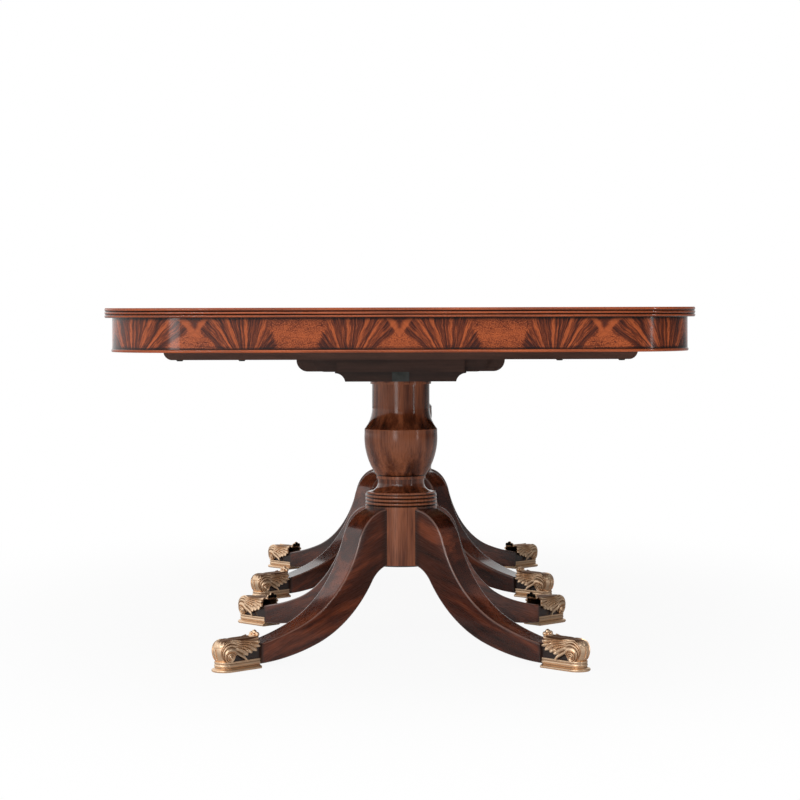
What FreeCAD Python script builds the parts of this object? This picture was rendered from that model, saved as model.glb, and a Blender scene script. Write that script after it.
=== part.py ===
import FreeCAD, Part
import math
import operator
import os
from types import SimpleNamespace

import Sketcher

# Twin-pedestal extension dining table, in millimetres. The floor is z = 0, the origin lies under the
# middle of the closed table, and its length runs along Y. The near half has negative Y.

DRIVING_SIZES = {
    # The whole table, closed
    "table_height": 775,
    "table_width": 1220,
    "table_length": 2574,
    "top_corner_radius": 171,
    "split_gap": 0.4,
    # Top panel and its reeded lipping
    "top_thickness": 20,
    "lipping_depth": 26,
    "reed_depth": 2.4,
    # Apron, set back under the top, and its bead
    "apron_setback": 16,
    "apron_depth": 70,
    "rail_thickness": 22,
    "bead_height": 6.5,
    "bead_proud": 2,
    "bead_inset": 12,
    # Cross bearer under each half, with packing and bolts
    "packing_height": 55,
    "packing_width": 60,
    "bearer_height": 43,
    "bearer_end_gap": 35,
    "bearer_width": 160,
    "bearer_corner_radius": 20,
    "bolt_end_inset": 29,
    "bolt_spacing": 143,
    "bolt_shank_radius": 4,
    "bolt_head_radius": 9,
    "bolt_head_height": 4.4,
    "bolt_bite": 30,
    "bolt_clearance": 0.2,
    # Stack of boards between cross bearer and column
    "stack_board_height": 28,
    "pedestal_bearer_half_length": 238,
    "pedestal_bearer_width": 60,
    "cleat_half_length": 198,
    "cleat_width": 30,
    "clamp_half_length": 145,
    "clamp_width": 20,
    "board_end_radius": 26,
    "plate_height": 22,
    "plate_half_length": 149,
    "plate_half_depth": 70,
    "plate_cove_depth": 23,
    "plate_lip_height": 3,
    "stay_width": 39,
    "stay_thickness": 3,
    # Turned column: radii, and heights as shares of the rise from ring to collar
    "pedestal_spacing": 1194,
    "tenon_radius": 30,
    "tenon_clearance": 0.1,
    "collar_radius": 70,
    "collar_height": 7,
    "neck_radius": 66,
    "neck_cove_radius": 77,
    "arris_radius": 83.5,
    "arris_height": 9,
    "bulb_radius": 153,
    "waist_radius": 56,
    "fillet_radius": 53,
    "fillet_height": 6.5,
    "scotia_radius": 21,
    "scotia_height": 19,
    "ring_fillet_radius": 79,
    "ring_fillet_height": 5,
    "ring_reed_height": 8.3,
    "ring_reed_depth": 1.7,
    "drum_radius": 82,
    "drum_lap": 2.5,
    "drum_reveal": 5.7,
    "arris_share": 0.5895,
    "neck_share": 0.7776,
    "waist_share": 0.162,
    # Sabre leg, from its foot in the cap up to the drum
    "foot_reach": 530,
    "foot_half_width": 17.2,
    "foot_heel_half_width": 19.5,
    "foot_top": 44.6,
    "foot_sole": 9.3,
    "toe_slope": 1.7,
    "toe_curve_radius": 672,
    "instep_slope": 19.2,
    "instep_curve_radius": 273.3,
    "shoulder_slope": 71.6,
    "shoulder_radius": 94.7,
    "sole_flat": 72.7,
    "sole_curve_radius": 586,
    "arch_slope": 17.1,
    "arch_curve_radius": 307.3,
    "throat_slope": 56.3,
    "throat_radius": 76.3,
    "leg_half_width": 31.5,
    "leg_ankle_half_width": 25,
    "leg_arris_radius": 4,
    "blank_margin": 15,
    # Dovetail that holds a leg in the drum
    "dovetail_depth": 26,
    "dovetail_neck_half": 9,
    "dovetail_tail_half": 13,
    "dovetail_top_inset": 12,
    "dovetail_clearance": 0.2,
    "brace_radius": 76,
    "brace_thickness": 3,
    # Cast brass toe cap
    "cap_grip": 82,
    "cap_clearance": 0.3,
    "plinth_half_width": 28,
    "plinth_foot_height": 8,
    "plinth_waist_height": 2,
    "plinth_waist_inset": 7.4,
    "plinth_ovolo_height": 12,
    "plinth_ovolo_swell": 2,
    "toe_foot_radius": 17.8,
    "toe_belly_radius": 24.6,
    "toe_belly_height": 46,
    "toe_belly_curve": 46,
    "toe_dome_curve": 24,
    "toe_crown_radius": 8,
    "toe_height": 66.5,
    "leaf_half_width": 23.5,
    "leaf_rear_top": 68,
    "leaf_crown_radius": 11,
    "leaf_corner_inset": 6,
    "leaf_corner_height": 41,
    "leaf_front_setback": 31,
    "leaf_lower_edge": 31,
    "leaf_scallop_radius": 8.5,
    "stalk_width": 9,
    "stalk_lean": 6,
    "stalk_seat": 2,
    "volute_radius": 12.5,
    "volute_height": 32,
    "volute_lead": 2,
    "volute_half_width": 27,
    "volute_eye_radius": 4,
    "volute_eye_half_width": 28.5,
    "bud_radius": 7,
    "bud_setback": 84,
    "bud_rise": 73.5,
    "bud_drop": 2.5,
    "bud_spread": 11,
    # Telescopic slides
    "runner_width": 35,
    "runner_side_inset": 320,
    "runner_side_gap": 0.5,
    "runner_top_gap": 0.3,
    "runner_back_reach": 700,
    "runner_free_reach": 420,
    "groove_height": 16,
    "groove_depth": 11,
    "tongue_clearance": 0.5,
    "batten_thickness": 40,
    # Alignment pins, latches and keepers at the split
    "pin_radius": 5,
    "pin_length": 50,
    "pin_side_inset": 210,
    "pin_clearance": 0.2,
    "latch_side_inset": 160,
    "latch_setback": 60,
    "latch_width": 22,
    "latch_thickness": 4,
    "latch_drop": 4,
    "pivot_radius": 4,
    "pivot_depth": 12,
    "pivot_clearance": 0.05,
    "keeper_clearance": 1,
    "keeper_head_radius": 8,
    "keeper_head_height": 3,
}

doc = FreeCAD.newDocument("dining_table")
sheet = doc.addObject("Spreadsheet::Sheet", "Sizes")
for row, (alias, number) in enumerate(DRIVING_SIZES.items(), start=1):
    sheet.set(f"A{row}", alias)
    sheet.set(f"B{row}", str(number))
    sheet.setAlias(f"B{row}", alias)
doc.recompute()

OPERATORS = {"+": operator.add, "-": operator.sub, "*": operator.mul, "/": operator.truediv}


class Size:
    """A value worked out from the sheet, with the expression that keeps it bound to its cells."""

    def __init__(self, value, text):
        self.value = value
        self.text = text

    def __add__(self, other):
        return combine(self, "+", other)

    def __sub__(self, other):
        return combine(self, "-", other)

    def __mul__(self, other):
        return combine(self, "*", other)

    def __truediv__(self, other):
        return combine(self, "/", other)

    def __radd__(self, other):
        return combine(other, "+", self)

    def __rsub__(self, other):
        return combine(other, "-", self)

    def __rmul__(self, other):
        return combine(other, "*", self)

    def __neg__(self):
        return combine(0, "-", self)


def as_size(value):
    return value if isinstance(value, Size) else Size(float(value), repr(float(value)))


def combine(left, sign, right):
    left = as_size(left)
    right = as_size(right)
    return Size(OPERATORS[sign](left.value, right.value), f"({left.text} {sign} {right.text})")


def sin(angle):
    return Size(math.sin(math.radians(angle.value)), f"sin({angle.text})")


def cos(angle):
    return Size(math.cos(math.radians(angle.value)), f"cos({angle.text})")


def sqrt(square):
    return Size(math.sqrt(square.value), f"sqrt({square.text})")


def least(first, second):
    return Size(min(first.value, second.value), f"min({first.text}; {second.text})")


def arc_radius(chord, rise):
    """Radius of the arc that stands a given rise above its chord."""
    return (chord * chord / 4 + rise * rise) / (2 * rise)


size = SimpleNamespace(
    **{alias: Size(float(number), f"Sizes.{alias}") for alias, number in DRIVING_SIZES.items()}
)


def bind(item, prop, value):
    """Tie one property of a document object to the sheet."""
    item.setExpression(prop, as_size(value).text)


# Levels of the stack under the top, from the top down
top_underside = size.table_height - size.top_thickness
packing_underside = top_underside - size.packing_height
bearer_underside = packing_underside - size.bearer_height
stack_underside = bearer_underside - size.stack_board_height
plate_underside = stack_underside - size.plate_height
apron_underside = top_underside - size.apron_depth
rail_underside = apron_underside + size.bead_height

pedestal_y = size.pedestal_spacing / 2
split_y = size.split_gap / 2
half_width = size.table_width / 2
half_length = size.table_length / 2

# Places across the table, from its sides inwards
apron_inner_x = half_width - size.apron_setback - size.rail_thickness
bearer_half_length = apron_inner_x - size.bearer_end_gap
bolt_outer_x = bearer_half_length - size.bolt_end_inset
bolt_inner_x = bolt_outer_x - size.bolt_spacing
latch_x = half_width - size.latch_side_inset
pin_x = half_width - size.pin_side_inset
runner_outer_x = half_width - size.runner_side_inset

NEAR, FAR = -1, 1
QUARTER_TURN = 90
HALF_TURN = 180
FULL_TURN = 360
SIDES = {"left": -1, "right": 1}


def new_body(label):
    body = doc.addObject("PartDesign::Body", label)
    body.Label = label
    return body


def plane_of(body, role):
    return next(item for item in body.Origin.OriginFeatures if item.Role == role)


def add_sketch(body, name, plane, offset=0):
    """Sketch on one of the body's own origin planes, lifted along that plane's normal."""
    sketch = body.newObject("Sketcher::SketchObject", f"{body.Name}_{name}")
    sketch.AttachmentSupport = [(plane_of(body, plane), "")]
    sketch.MapMode = "FlatFace"
    bind(sketch, "AttachmentOffset.Base.z", offset)
    return sketch


def fix_point(sketch, line, end, point):
    """Hold one end of a line or arc at a place given by sizes."""
    for kind, axis, value in zip(("DistanceX", "DistanceY"), (-2, -1), map(as_size, point)):
        if value.value == 0:
            sketch.addConstraint(Sketcher.Constraint("PointOnObject", line, end, axis))
        else:
            index = sketch.addConstraint(Sketcher.Constraint(kind, -1, 1, line, end, value.value))
            bind(sketch, f"Constraints[{index}]", value)


def arc_between(start, end, radius):
    """Arc of under half a turn; a positive radius turns anticlockwise, a negative one clockwise."""
    anticlockwise = radius > 0
    chord = end - start
    height = math.sqrt(max(radius * radius - chord.Length * chord.Length / 4, 0))
    left = FreeCAD.Vector(-chord.y, chord.x, 0).normalize()
    centre = start + chord * 0.5 + left * (height if anticlockwise else -height)
    first, last = (start, end) if anticlockwise else (end, start)
    angles = [math.atan2(point.y - centre.y, point.x - centre.x) for point in (first, last)]
    if angles[1] < angles[0]:
        angles[1] += 2 * math.pi
    circle = Part.Circle(centre, FreeCAD.Vector(0, 0, 1), abs(radius))
    return Part.ArcOfCircle(circle, *angles), (1, 2) if anticlockwise else (2, 1)


def draw(sketch, corners, closed=True):
    """Draw an outline. A corner is (x, y), or (x, y, radius) where an arc leaves it for the next."""
    points = [FreeCAD.Vector(as_size(c[0]).value, as_size(c[1]).value, 0) for c in corners]
    count = len(corners) if closed else len(corners) - 1
    ends = []
    for index in range(count):
        start, end = points[index], points[(index + 1) % len(points)]
        if len(corners[index]) == 3:
            radius = as_size(corners[index][2])
            shape, places = arc_between(start, end, radius.value)
            line = sketch.addGeometry(shape)
            limit = sketch.addConstraint(Sketcher.Constraint("Radius", line, abs(radius.value)))
            bind(sketch, f"Constraints[{limit}]", radius if radius.value > 0 else -radius)
        else:
            line = sketch.addGeometry(Part.LineSegment(start, end))
            places = (1, 2)
        ends.append((line, *places))
    for index, (line, first, last) in enumerate(ends):
        fix_point(sketch, line, first, corners[index])
        if closed or index + 1 < count:
            follower = ends[(index + 1) % count]
            sketch.addConstraint(Sketcher.Constraint("Coincident", line, last, follower[0], follower[1]))
        else:
            fix_point(sketch, line, last, corners[index + 1])


def draw_circle(sketch, centre, radius):
    place = FreeCAD.Vector(as_size(centre[0]).value, as_size(centre[1]).value, 0)
    circle = sketch.addGeometry(Part.Circle(place, FreeCAD.Vector(0, 0, 1), as_size(radius).value))
    limit = sketch.addConstraint(Sketcher.Constraint("Radius", circle, as_size(radius).value))
    bind(sketch, f"Constraints[{limit}]", radius)
    fix_point(sketch, circle, 3, centre)


def add_feature(body, kind, sketch, name, length=None, midplane=False, reverse=False):
    """Pad or Pocket of a sketch, by a length, or right through where no length is given."""
    feature = body.newObject(f"PartDesign::{kind}", f"{body.Name}_{name}")
    feature.Profile = sketch
    if length is None:
        feature.Type = "ThroughAll"
    else:
        bind(feature, "Length", length)
    feature.Midplane = midplane
    feature.Reversed = reverse
    return feature


def revolve(body, kind, sketch, name):
    feature = body.newObject(f"PartDesign::{kind}", f"{body.Name}_{name}")
    feature.Profile = sketch
    feature.ReferenceAxis = (sketch, ["V_Axis"])
    feature.Angle = FULL_TURN
    return feature


def place(item, x=0, y=0, z=0, turn=0, axis=FreeCAD.Vector(0, 0, 1)):
    """Set where a sub-part stands, with its position bound to the sheet."""
    item.Placement = FreeCAD.Placement(FreeCAD.Vector(), FreeCAD.Rotation(axis, turn))
    for letter, value in zip("xyz", (x, y, z)):
        bind(item, f"Placement.Base.{letter}", value)


def clone(body, label, **where):
    """Another of the same piece, placed by itself."""
    copy = new_body(label)
    base = copy.newObject("PartDesign::FeatureBase", f"{label}_base")
    base.BaseFeature = body
    copy.Tip = base
    place(copy, **where)
    return copy


def group(label, members):
    compound = doc.addObject("Part::Compound", label)
    compound.Label = label
    compound.Links = members
    return compound


def box(label, low, high):
    """Plain board between two corners given by sizes."""
    board = doc.addObject("Part::Box", label)
    board.Label = label
    spans = [top - bottom for bottom, top in zip(map(as_size, low), map(as_size, high))]
    for prop, span in zip(("Length", "Width", "Height"), spans):
        bind(board, prop, span)
    place(board, *low)
    return board


def half_outline(width, length, corner):
    """Plan of one half: across the split, out along one side, round the end and back."""
    return [
        (-width, -split_y),
        (-width, corner - length, corner),
        (corner - width, -length),
        (width - corner, -length, corner),
        (width, corner - length),
        (width, -split_y),
    ]


nodes = []


def keep(*items):
    """Mark sub-parts to be written, each under its own label."""
    nodes.extend(items)


# Top panel: one half of the top, bored for alignment pins in its split edge and for latch pivots
# or keeper studs in its underside
panel = new_body("top_panel_near")
panel_plan = add_sketch(panel, "plan", "XY_Plane", top_underside)
draw(
    panel_plan,
    half_outline(
        half_width - size.lipping_depth,
        half_length - size.lipping_depth,
        size.top_corner_radius - size.lipping_depth,
    ),
)
add_feature(panel, "Pad", panel_plan, "board", size.top_thickness)
pin_z = top_underside + size.top_thickness / 2
pin_bores = add_sketch(panel, "pin_bores", "XZ_Plane")
for step in (-1, 0, 1):
    draw_circle(pin_bores, (step * pin_x, pin_z), size.pin_radius + size.pin_clearance)
pin_bore_depth = size.pin_length / 2 + size.pin_clearance
add_feature(panel, "Pocket", pin_bores, "pin_bore", pin_bore_depth, reverse=True)
pivot_bores = add_sketch(panel, "pivot_bores", "XY_Plane", top_underside)
for side in SIDES.values():
    draw_circle(
        pivot_bores,
        (side * latch_x, -size.latch_setback),
        size.pivot_radius + size.pivot_clearance,
    )
pivot_bore_depth = size.pivot_depth + size.pivot_clearance
add_feature(panel, "Pocket", pivot_bores, "pivot_bore", pivot_bore_depth, reverse=True)
keep(panel, clone(panel, "top_panel_far", turn=HALF_TURN))


def swept_edge(label, width, length, corner, section):
    """Moulding carried along one side, round the end and back along the other side."""
    body = new_body(label)
    path = add_sketch(body, "path", "XY_Plane")
    draw(path, half_outline(width, length, corner), closed=False)
    profile = add_sketch(body, "section", "XZ_Plane", split_y)
    draw(profile, section)
    sweep = body.newObject("PartDesign::AdditivePipe", f"{label}_sweep")
    sweep.Profile = profile
    sweep.Spine = (path, [])
    return body


# Reeded lipping: solid edging glued round the panel, worked with three reeds
reed_height = size.top_thickness / 3
reed_root = size.reed_depth - half_width
reed_radius = arc_radius(reed_height, size.reed_depth)
reeded_section = [(size.lipping_depth - half_width, size.table_height)]
reeded_section += [
    (reed_root, size.table_height - step * reed_height, reed_radius) for step in range(3)
]
reeded_section += [(reed_root, top_underside), (size.lipping_depth - half_width, top_underside)]
lipping = swept_edge(
    "reeded_edge_near", half_width, half_length, size.top_corner_radius, reeded_section
)
keep(lipping, clone(lipping, "reeded_edge_far", turn=HALF_TURN))

# Apron: straight end and side rails between bent corner rails, set back under the top
apron_half = half_width - size.apron_setback
apron_end = half_length - size.apron_setback
apron_corner = size.top_corner_radius - size.apron_setback
straight_half = apron_half - apron_corner
straight_end = apron_end - apron_corner
for half, name in ((NEAR, "near"), (FAR, "far")):
    outer_y = half * apron_end
    inner_y = half * (apron_end - size.rail_thickness)
    low_y, high_y = (outer_y, inner_y) if half == NEAR else (inner_y, outer_y)
    keep(
        box(
            f"end_rail_{name}",
            (-straight_half, low_y, rail_underside),
            (straight_half, high_y, top_underside),
        )
    )
    split_side, corner_side = half * split_y, half * straight_end
    low_y, high_y = (corner_side, split_side) if half == NEAR else (split_side, corner_side)
    for side_name, side in SIDES.items():
        faces = [side * apron_half, side * (apron_half - size.rail_thickness)]
        low_x, high_x = faces if side < 0 else faces[::-1]
        keep(
            box(
                f"side_rail_{side_name}_{name}",
                (low_x, low_y, rail_underside),
                (high_x, high_y, top_underside),
            )
        )

corner_rail = new_body("corner_rail_right_near")
bend = add_sketch(corner_rail, "bend", "XY_Plane")
bend_inside = apron_corner - size.rail_thickness
draw(
    bend,
    [
        (0, -apron_corner, apron_corner),
        (apron_corner, 0),
        (bend_inside, 0, -bend_inside),
        (0, -bend_inside),
    ],
)
add_feature(corner_rail, "Pad", bend, "rail", top_underside - rail_underside)
place(corner_rail, straight_half, -straight_end, rail_underside)
keep(
    corner_rail,
    clone(
        corner_rail,
        "corner_rail_left_near",
        x=-straight_half,
        y=-straight_end,
        z=rail_underside,
        turn=-QUARTER_TURN,
    ),
    clone(
        corner_rail,
        "corner_rail_right_far",
        x=straight_half,
        y=straight_end,
        z=rail_underside,
        turn=QUARTER_TURN,
    ),
    clone(
        corner_rail,
        "corner_rail_left_far",
        x=-straight_half,
        y=straight_end,
        z=rail_underside,
        turn=HALF_TURN,
    ),
)

# Bead along the apron's lower edge
bead_radius = arc_radius(size.bead_height, size.bead_proud)
bead_section = [
    (size.bead_inset - apron_half, rail_underside),
    (-apron_half, rail_underside, bead_radius),
    (-apron_half, apron_underside),
    (size.bead_inset - apron_half, apron_underside),
]
bead = swept_edge("apron_bead_near", apron_half, apron_end, apron_corner, bead_section)
keep(bead, clone(bead, "apron_bead_far", turn=HALF_TURN))

# Cross bearer: a flat board across each half, with rounded lower ends and bolt holes
bearer = new_body("cross_bearer_near")
bearer_end = add_sketch(bearer, "outline", "XZ_Plane")
rounding = size.bearer_corner_radius
draw(
    bearer_end,
    [
        (-bearer_half_length, packing_underside),
        (-bearer_half_length, bearer_underside + rounding, rounding),
        (rounding - bearer_half_length, bearer_underside),
        (bearer_half_length - rounding, bearer_underside, rounding),
        (bearer_half_length, bearer_underside + rounding),
        (bearer_half_length, packing_underside),
    ],
)
add_feature(bearer, "Pad", bearer_end, "board", size.bearer_width, midplane=True)
bolt_offsets = [
    side * offset
    for side in SIDES.values()
    for offset in (bolt_inner_x, bolt_outer_x)
]
bolt_holes = add_sketch(bearer, "bolt_holes", "XY_Plane", packing_underside)
for offset in bolt_offsets:
    draw_circle(bolt_holes, (offset, 0), size.bolt_shank_radius + size.bolt_clearance)
add_feature(bearer, "Pocket", bolt_holes, "bolt_hole", size.bearer_height)
place(bearer, y=-pedestal_y)
keep(bearer, clone(bearer, "cross_bearer_far", y=pedestal_y, turn=HALF_TURN))

# Packing blocks between bearer and top, and the bolts that pull them together
packing = new_body("packing_block")
packing_plan = add_sketch(packing, "plan", "XY_Plane", packing_underside)
block_half_width = size.packing_width / 2
block_half_depth = size.bearer_width / 2
draw(
    packing_plan,
    [
        (-block_half_width, -block_half_depth),
        (block_half_width, -block_half_depth),
        (block_half_width, block_half_depth),
        (-block_half_width, block_half_depth),
    ],
)
draw_circle(packing_plan, (0, 0), size.bolt_shank_radius + size.bolt_clearance)
add_feature(packing, "Pad", packing_plan, "block", size.packing_height)

bolt = new_body("bearer_bolt")
bolt_shape = add_sketch(bolt, "outline", "XZ_Plane")
bolt_head_under = bearer_underside - size.bolt_head_height
bolt_tip = packing_underside + size.bolt_bite
draw(
    bolt_shape,
    [
        (0, bolt_head_under),
        (size.bolt_head_radius * 0.72, bolt_head_under),
        (size.bolt_head_radius, bearer_underside),
        (size.bolt_shank_radius, bearer_underside),
        (size.bolt_shank_radius, bolt_tip),
        (0, bolt_tip),
    ],
)
revolve(bolt, "Revolution", bolt_shape, "turned")

for half, name in ((NEAR, "near"), (FAR, "far")):
    for piece, label in ((packing, "packing_blocks"), (bolt, "bearer_bolts")):
        members = [
            clone(piece, f"{label}_{name}_{number}", x=offset, y=half * pedestal_y)
            for number, offset in enumerate(bolt_offsets, start=1)
        ]
        keep(group(f"{label}_{name}", members))


def round_ended_board(label, board_half_length, width):
    """Board of the stack under the bearer; its ends are rounded off below to a quarter circle."""
    body = new_body(label)
    face = add_sketch(body, "outline", "XZ_Plane")
    radius = size.board_end_radius
    draw(
        face,
        [
            (-board_half_length, bearer_underside),
            (-board_half_length, stack_underside + radius, radius),
            (radius - board_half_length, stack_underside),
            (board_half_length - radius, stack_underside, radius),
            (board_half_length, stack_underside + radius),
            (board_half_length, bearer_underside),
        ],
    )
    add_feature(body, "Pad", face, "board", width, midplane=True)
    return body


# Pedestal bearer, with a shorter cleat and a clamp block hugging each of its faces
spine = round_ended_board(
    "pedestal_bearer_near", size.pedestal_bearer_half_length, size.pedestal_bearer_width
)
place(spine, y=-pedestal_y)
keep(spine, clone(spine, "pedestal_bearer_far", y=pedestal_y, turn=HALF_TURN))

cleat = round_ended_board("bearer_cleat", size.cleat_half_length, size.cleat_width)
cleat_y = (size.pedestal_bearer_width + size.cleat_width) / 2
clamp_face = size.pedestal_bearer_width / 2 + size.cleat_width
for half, name in ((NEAR, "near"), (FAR, "far")):
    members = []
    for face, face_name in ((NEAR, "front"), (FAR, "back")):
        axis_y = half * pedestal_y
        members.append(clone(cleat, f"cleat_{face_name}_{name}", y=axis_y + face * cleat_y))
        inner = axis_y + face * clamp_face
        outer = axis_y + face * (clamp_face + size.clamp_width)
        low_y, high_y = (outer, inner) if face == NEAR else (inner, outer)
        members.append(
            box(
                f"clamp_{face_name}_{name}",
                (-size.clamp_half_length, low_y, stack_underside),
                (size.clamp_half_length, high_y, bearer_underside),
            )
        )
    keep(group(f"bearer_cleats_{name}", members))

# Pedestal plate: coved at its ends, bored for the column's tenon
plate = new_body("pedestal_plate_near")
plate_face = add_sketch(plate, "outline", "XZ_Plane")
plate_foot = size.plate_half_length - size.plate_cove_depth
cove_top = stack_underside - size.plate_lip_height
draw(
    plate_face,
    [
        (-size.plate_half_length, stack_underside),
        (-size.plate_half_length, cove_top, -size.plate_cove_depth),
        (-plate_foot, plate_underside),
        (plate_foot, plate_underside, -size.plate_cove_depth),
        (size.plate_half_length, cove_top),
        (size.plate_half_length, stack_underside),
    ],
)
add_feature(plate, "Pad", plate_face, "board", size.plate_half_depth * 2, midplane=True)
tenon_hole = add_sketch(plate, "tenon_hole", "XY_Plane", stack_underside)
draw_circle(tenon_hole, (0, 0), size.tenon_radius + size.tenon_clearance)
add_feature(plate, "Pocket", tenon_hole, "mortise", size.plate_height)
place(plate, y=-pedestal_y)
keep(plate, clone(plate, "pedestal_plate_far", y=pedestal_y, turn=HALF_TURN))

# Steel stay plates on the front and back of the pedestal plate
for half, name in ((NEAR, "near"), (FAR, "far")):
    members = []
    for face, face_name in ((NEAR, "front"), (FAR, "back")):
        inner = half * pedestal_y + face * size.plate_half_depth
        outer = inner + face * size.stay_thickness
        low_y, high_y = (outer, inner) if face == NEAR else (inner, outer)
        members.append(
            box(
                f"stay_{face_name}_{name}",
                (-size.stay_width / 2, low_y, plate_underside),
                (size.stay_width / 2, high_y, stack_underside),
            )
        )
    keep(group(f"stay_plates_{name}", members))


# Leg outline: three tangent arcs above and three below, from the foot up to the drum
def sabre_curve(start, slopes, radii):
    """Points of a chain of tangent arcs, walked from the foot towards the drum.

    A slope is the fall of the curve towards the foot, in degrees. Where it grows along the walk the
    arc is hollow, and where it shrinks the arc is round.
    """
    u, z = start
    points = [(u, z)]
    for first, last, radius in zip(slopes, slopes[1:], radii):
        hollow = 1 if as_size(last).value > as_size(first).value else -1
        u = u + hollow * radius * (sin(first) - sin(last))
        z = z + hollow * radius * (cos(first) - cos(last))
        points.append((u, z))
    return points


LEVEL = as_size(0)
over_points = sabre_curve(
    (size.foot_reach, size.foot_top),
    (size.toe_slope, size.instep_slope, size.shoulder_slope, LEVEL),
    (size.toe_curve_radius, size.instep_curve_radius, size.shoulder_radius),
)
under_points = sabre_curve(
    (size.foot_reach - size.sole_flat, size.foot_sole),
    (LEVEL, size.arch_slope, size.throat_slope, LEVEL),
    (size.sole_curve_radius, size.arch_curve_radius, size.throat_radius),
)
leg_crown = over_points[-1][1]
leg_throat = under_points[-1][1]
drum_bottom = leg_throat - size.drum_lap
ring_bottom = leg_crown + size.drum_reveal
blank_inner = least(over_points[-1][0], under_points[-1][0]) - size.blank_margin
dovetail_top = leg_crown - size.dovetail_top_inset


# Turned column: drum with dovetail sockets, reeded ring, scotia, bulb, neck, collar and tenon
def dovetail_plan(slack):
    """Plan of the dovetail between leg and drum, grown by a slack for its socket."""
    tail = size.drum_radius - size.dovetail_depth - slack
    neck = size.drum_radius
    mouth = size.drum_radius + size.dovetail_neck_half
    neck_half = size.dovetail_neck_half + slack
    tail_half = size.dovetail_tail_half + slack
    return [
        (tail, -tail_half),
        (neck, -neck_half),
        (mouth, -neck_half),
        (mouth, neck_half),
        (neck, neck_half),
        (tail, tail_half),
    ]


ring_top = ring_bottom + 3 * size.ring_reed_height
collar_bottom = plate_underside - size.collar_height
column_rise = collar_bottom - ring_top
arris_z = ring_top + size.arris_share * column_rise
neck_z = ring_top + size.neck_share * column_rise
waist_z = ring_top + size.waist_share * column_rise
ring_root = size.drum_radius - size.ring_reed_depth
ring_reed_radius = arc_radius(size.ring_reed_height, size.ring_reed_depth)
fillet_bottom = waist_z - size.fillet_height
column_profile = [(0, drum_bottom), (size.drum_radius, drum_bottom)]
column_profile += [(size.drum_radius, ring_bottom - size.ring_reed_depth)]
column_profile += [
    (ring_root, ring_bottom + step * size.ring_reed_height, ring_reed_radius)
    for step in range(3)
]
column_profile += [
    (ring_root, ring_top),
    (size.ring_fillet_radius, ring_top),
    (size.ring_fillet_radius, ring_top + size.ring_fillet_height, -size.scotia_radius),
    (size.fillet_radius, ring_top + size.ring_fillet_height + size.scotia_height),
    (size.fillet_radius, fillet_bottom),
    (size.waist_radius, fillet_bottom),
    (size.waist_radius, waist_z, size.bulb_radius),
    (size.arris_radius, arris_z - size.arris_height),
    (size.arris_radius, arris_z, -size.neck_cove_radius),
    (size.neck_radius, neck_z),
    (size.neck_radius, collar_bottom),
    (size.collar_radius, collar_bottom),
    (size.collar_radius, plate_underside),
    (size.tenon_radius, plate_underside),
    (size.tenon_radius, stack_underside),
    (0, stack_underside),
]


column = new_body("column_near")
column_face = add_sketch(column, "profile", "XZ_Plane")
draw(column_face, column_profile)
revolve(column, "Revolution", column_face, "turned")
socket_plan = add_sketch(column, "socket_plan", "XY_Plane", drum_bottom)
draw(socket_plan, dovetail_plan(size.dovetail_clearance))
socket_height = dovetail_top + size.dovetail_clearance - drum_bottom
socket = add_feature(column, "Pocket", socket_plan, "socket", socket_height, reverse=True)
doc.recompute()
sockets = column.newObject("PartDesign::PolarPattern", "column_sockets")
sockets.Originals = [socket]
sockets.Axis = (column_face, ["V_Axis"])
sockets.Angle = FULL_TURN
sockets.Occurrences = 4
column.Tip = sockets
LEG_ANGLES = {
    "left_front": 225,
    "right_front": 315,
    "right_back": 45,
    "left_back": 135,
}
FIRST_LEG = "right_back"
place(column, y=-pedestal_y, turn=LEG_ANGLES[FIRST_LEG])
keep(column, clone(column, "column_far", y=pedestal_y, turn=LEG_ANGLES[FIRST_LEG]))

leg = new_body(f"leg_{FIRST_LEG}_near")
leg_side = add_sketch(leg, "side", "XZ_Plane")
over_arcs = (-size.shoulder_radius, size.instep_curve_radius, size.toe_curve_radius)
under_arcs = (-size.sole_curve_radius, -size.arch_curve_radius, size.throat_radius)
leg_outline = [(blank_inner, leg_crown)]
leg_outline += [(*point, arc) for point, arc in zip(over_points[::-1], over_arcs)]
leg_outline += [over_points[0], (size.foot_reach, size.foot_sole)]
leg_outline += [(*point, arc) for point, arc in zip(under_points, under_arcs)]
leg_outline += [under_points[-1], (blank_inner, leg_throat)]
draw(leg_side, leg_outline)
blank = add_feature(leg, "Pad", leg_side, "blank", size.leg_half_width * 2, midplane=True)

# The sides taper from the drum to a shoulder at the ankle, where the foot steps in to enter its cap
taper = add_sketch(leg, "taper", "XY_Plane", leg_crown)
waste_edge = size.leg_half_width * 1.5
ankle = size.foot_reach - size.cap_grip - size.cap_clearance
for side in SIDES.values():
    wedge = [
        (blank_inner, side * size.leg_half_width),
        (ankle, side * size.leg_ankle_half_width),
        (ankle, side * size.foot_heel_half_width),
        (size.foot_reach, side * size.foot_half_width),
        (size.foot_reach, side * waste_edge),
        (blank_inner, side * waste_edge),
    ]
    draw(taper, wedge if side > 0 else wedge[::-1])
sawn = add_feature(leg, "Pocket", taper, "sawn")
doc.recompute()


def long_arrises(shape):
    """Names of the edges that run down to the ankle between the leg's sides and its curved faces."""
    names = []
    for number, edge in enumerate(shape.Edges, start=1):
        middle = edge.valueAt((edge.FirstParameter + edge.LastParameter) / 2)
        along = edge.Vertexes[-1].Point - edge.Vertexes[0].Point
        if abs(middle.y) > 1 and abs(along.x) > 1 and middle.x < ankle.value:
            names.append(f"Edge{number}")
    return names


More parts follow.
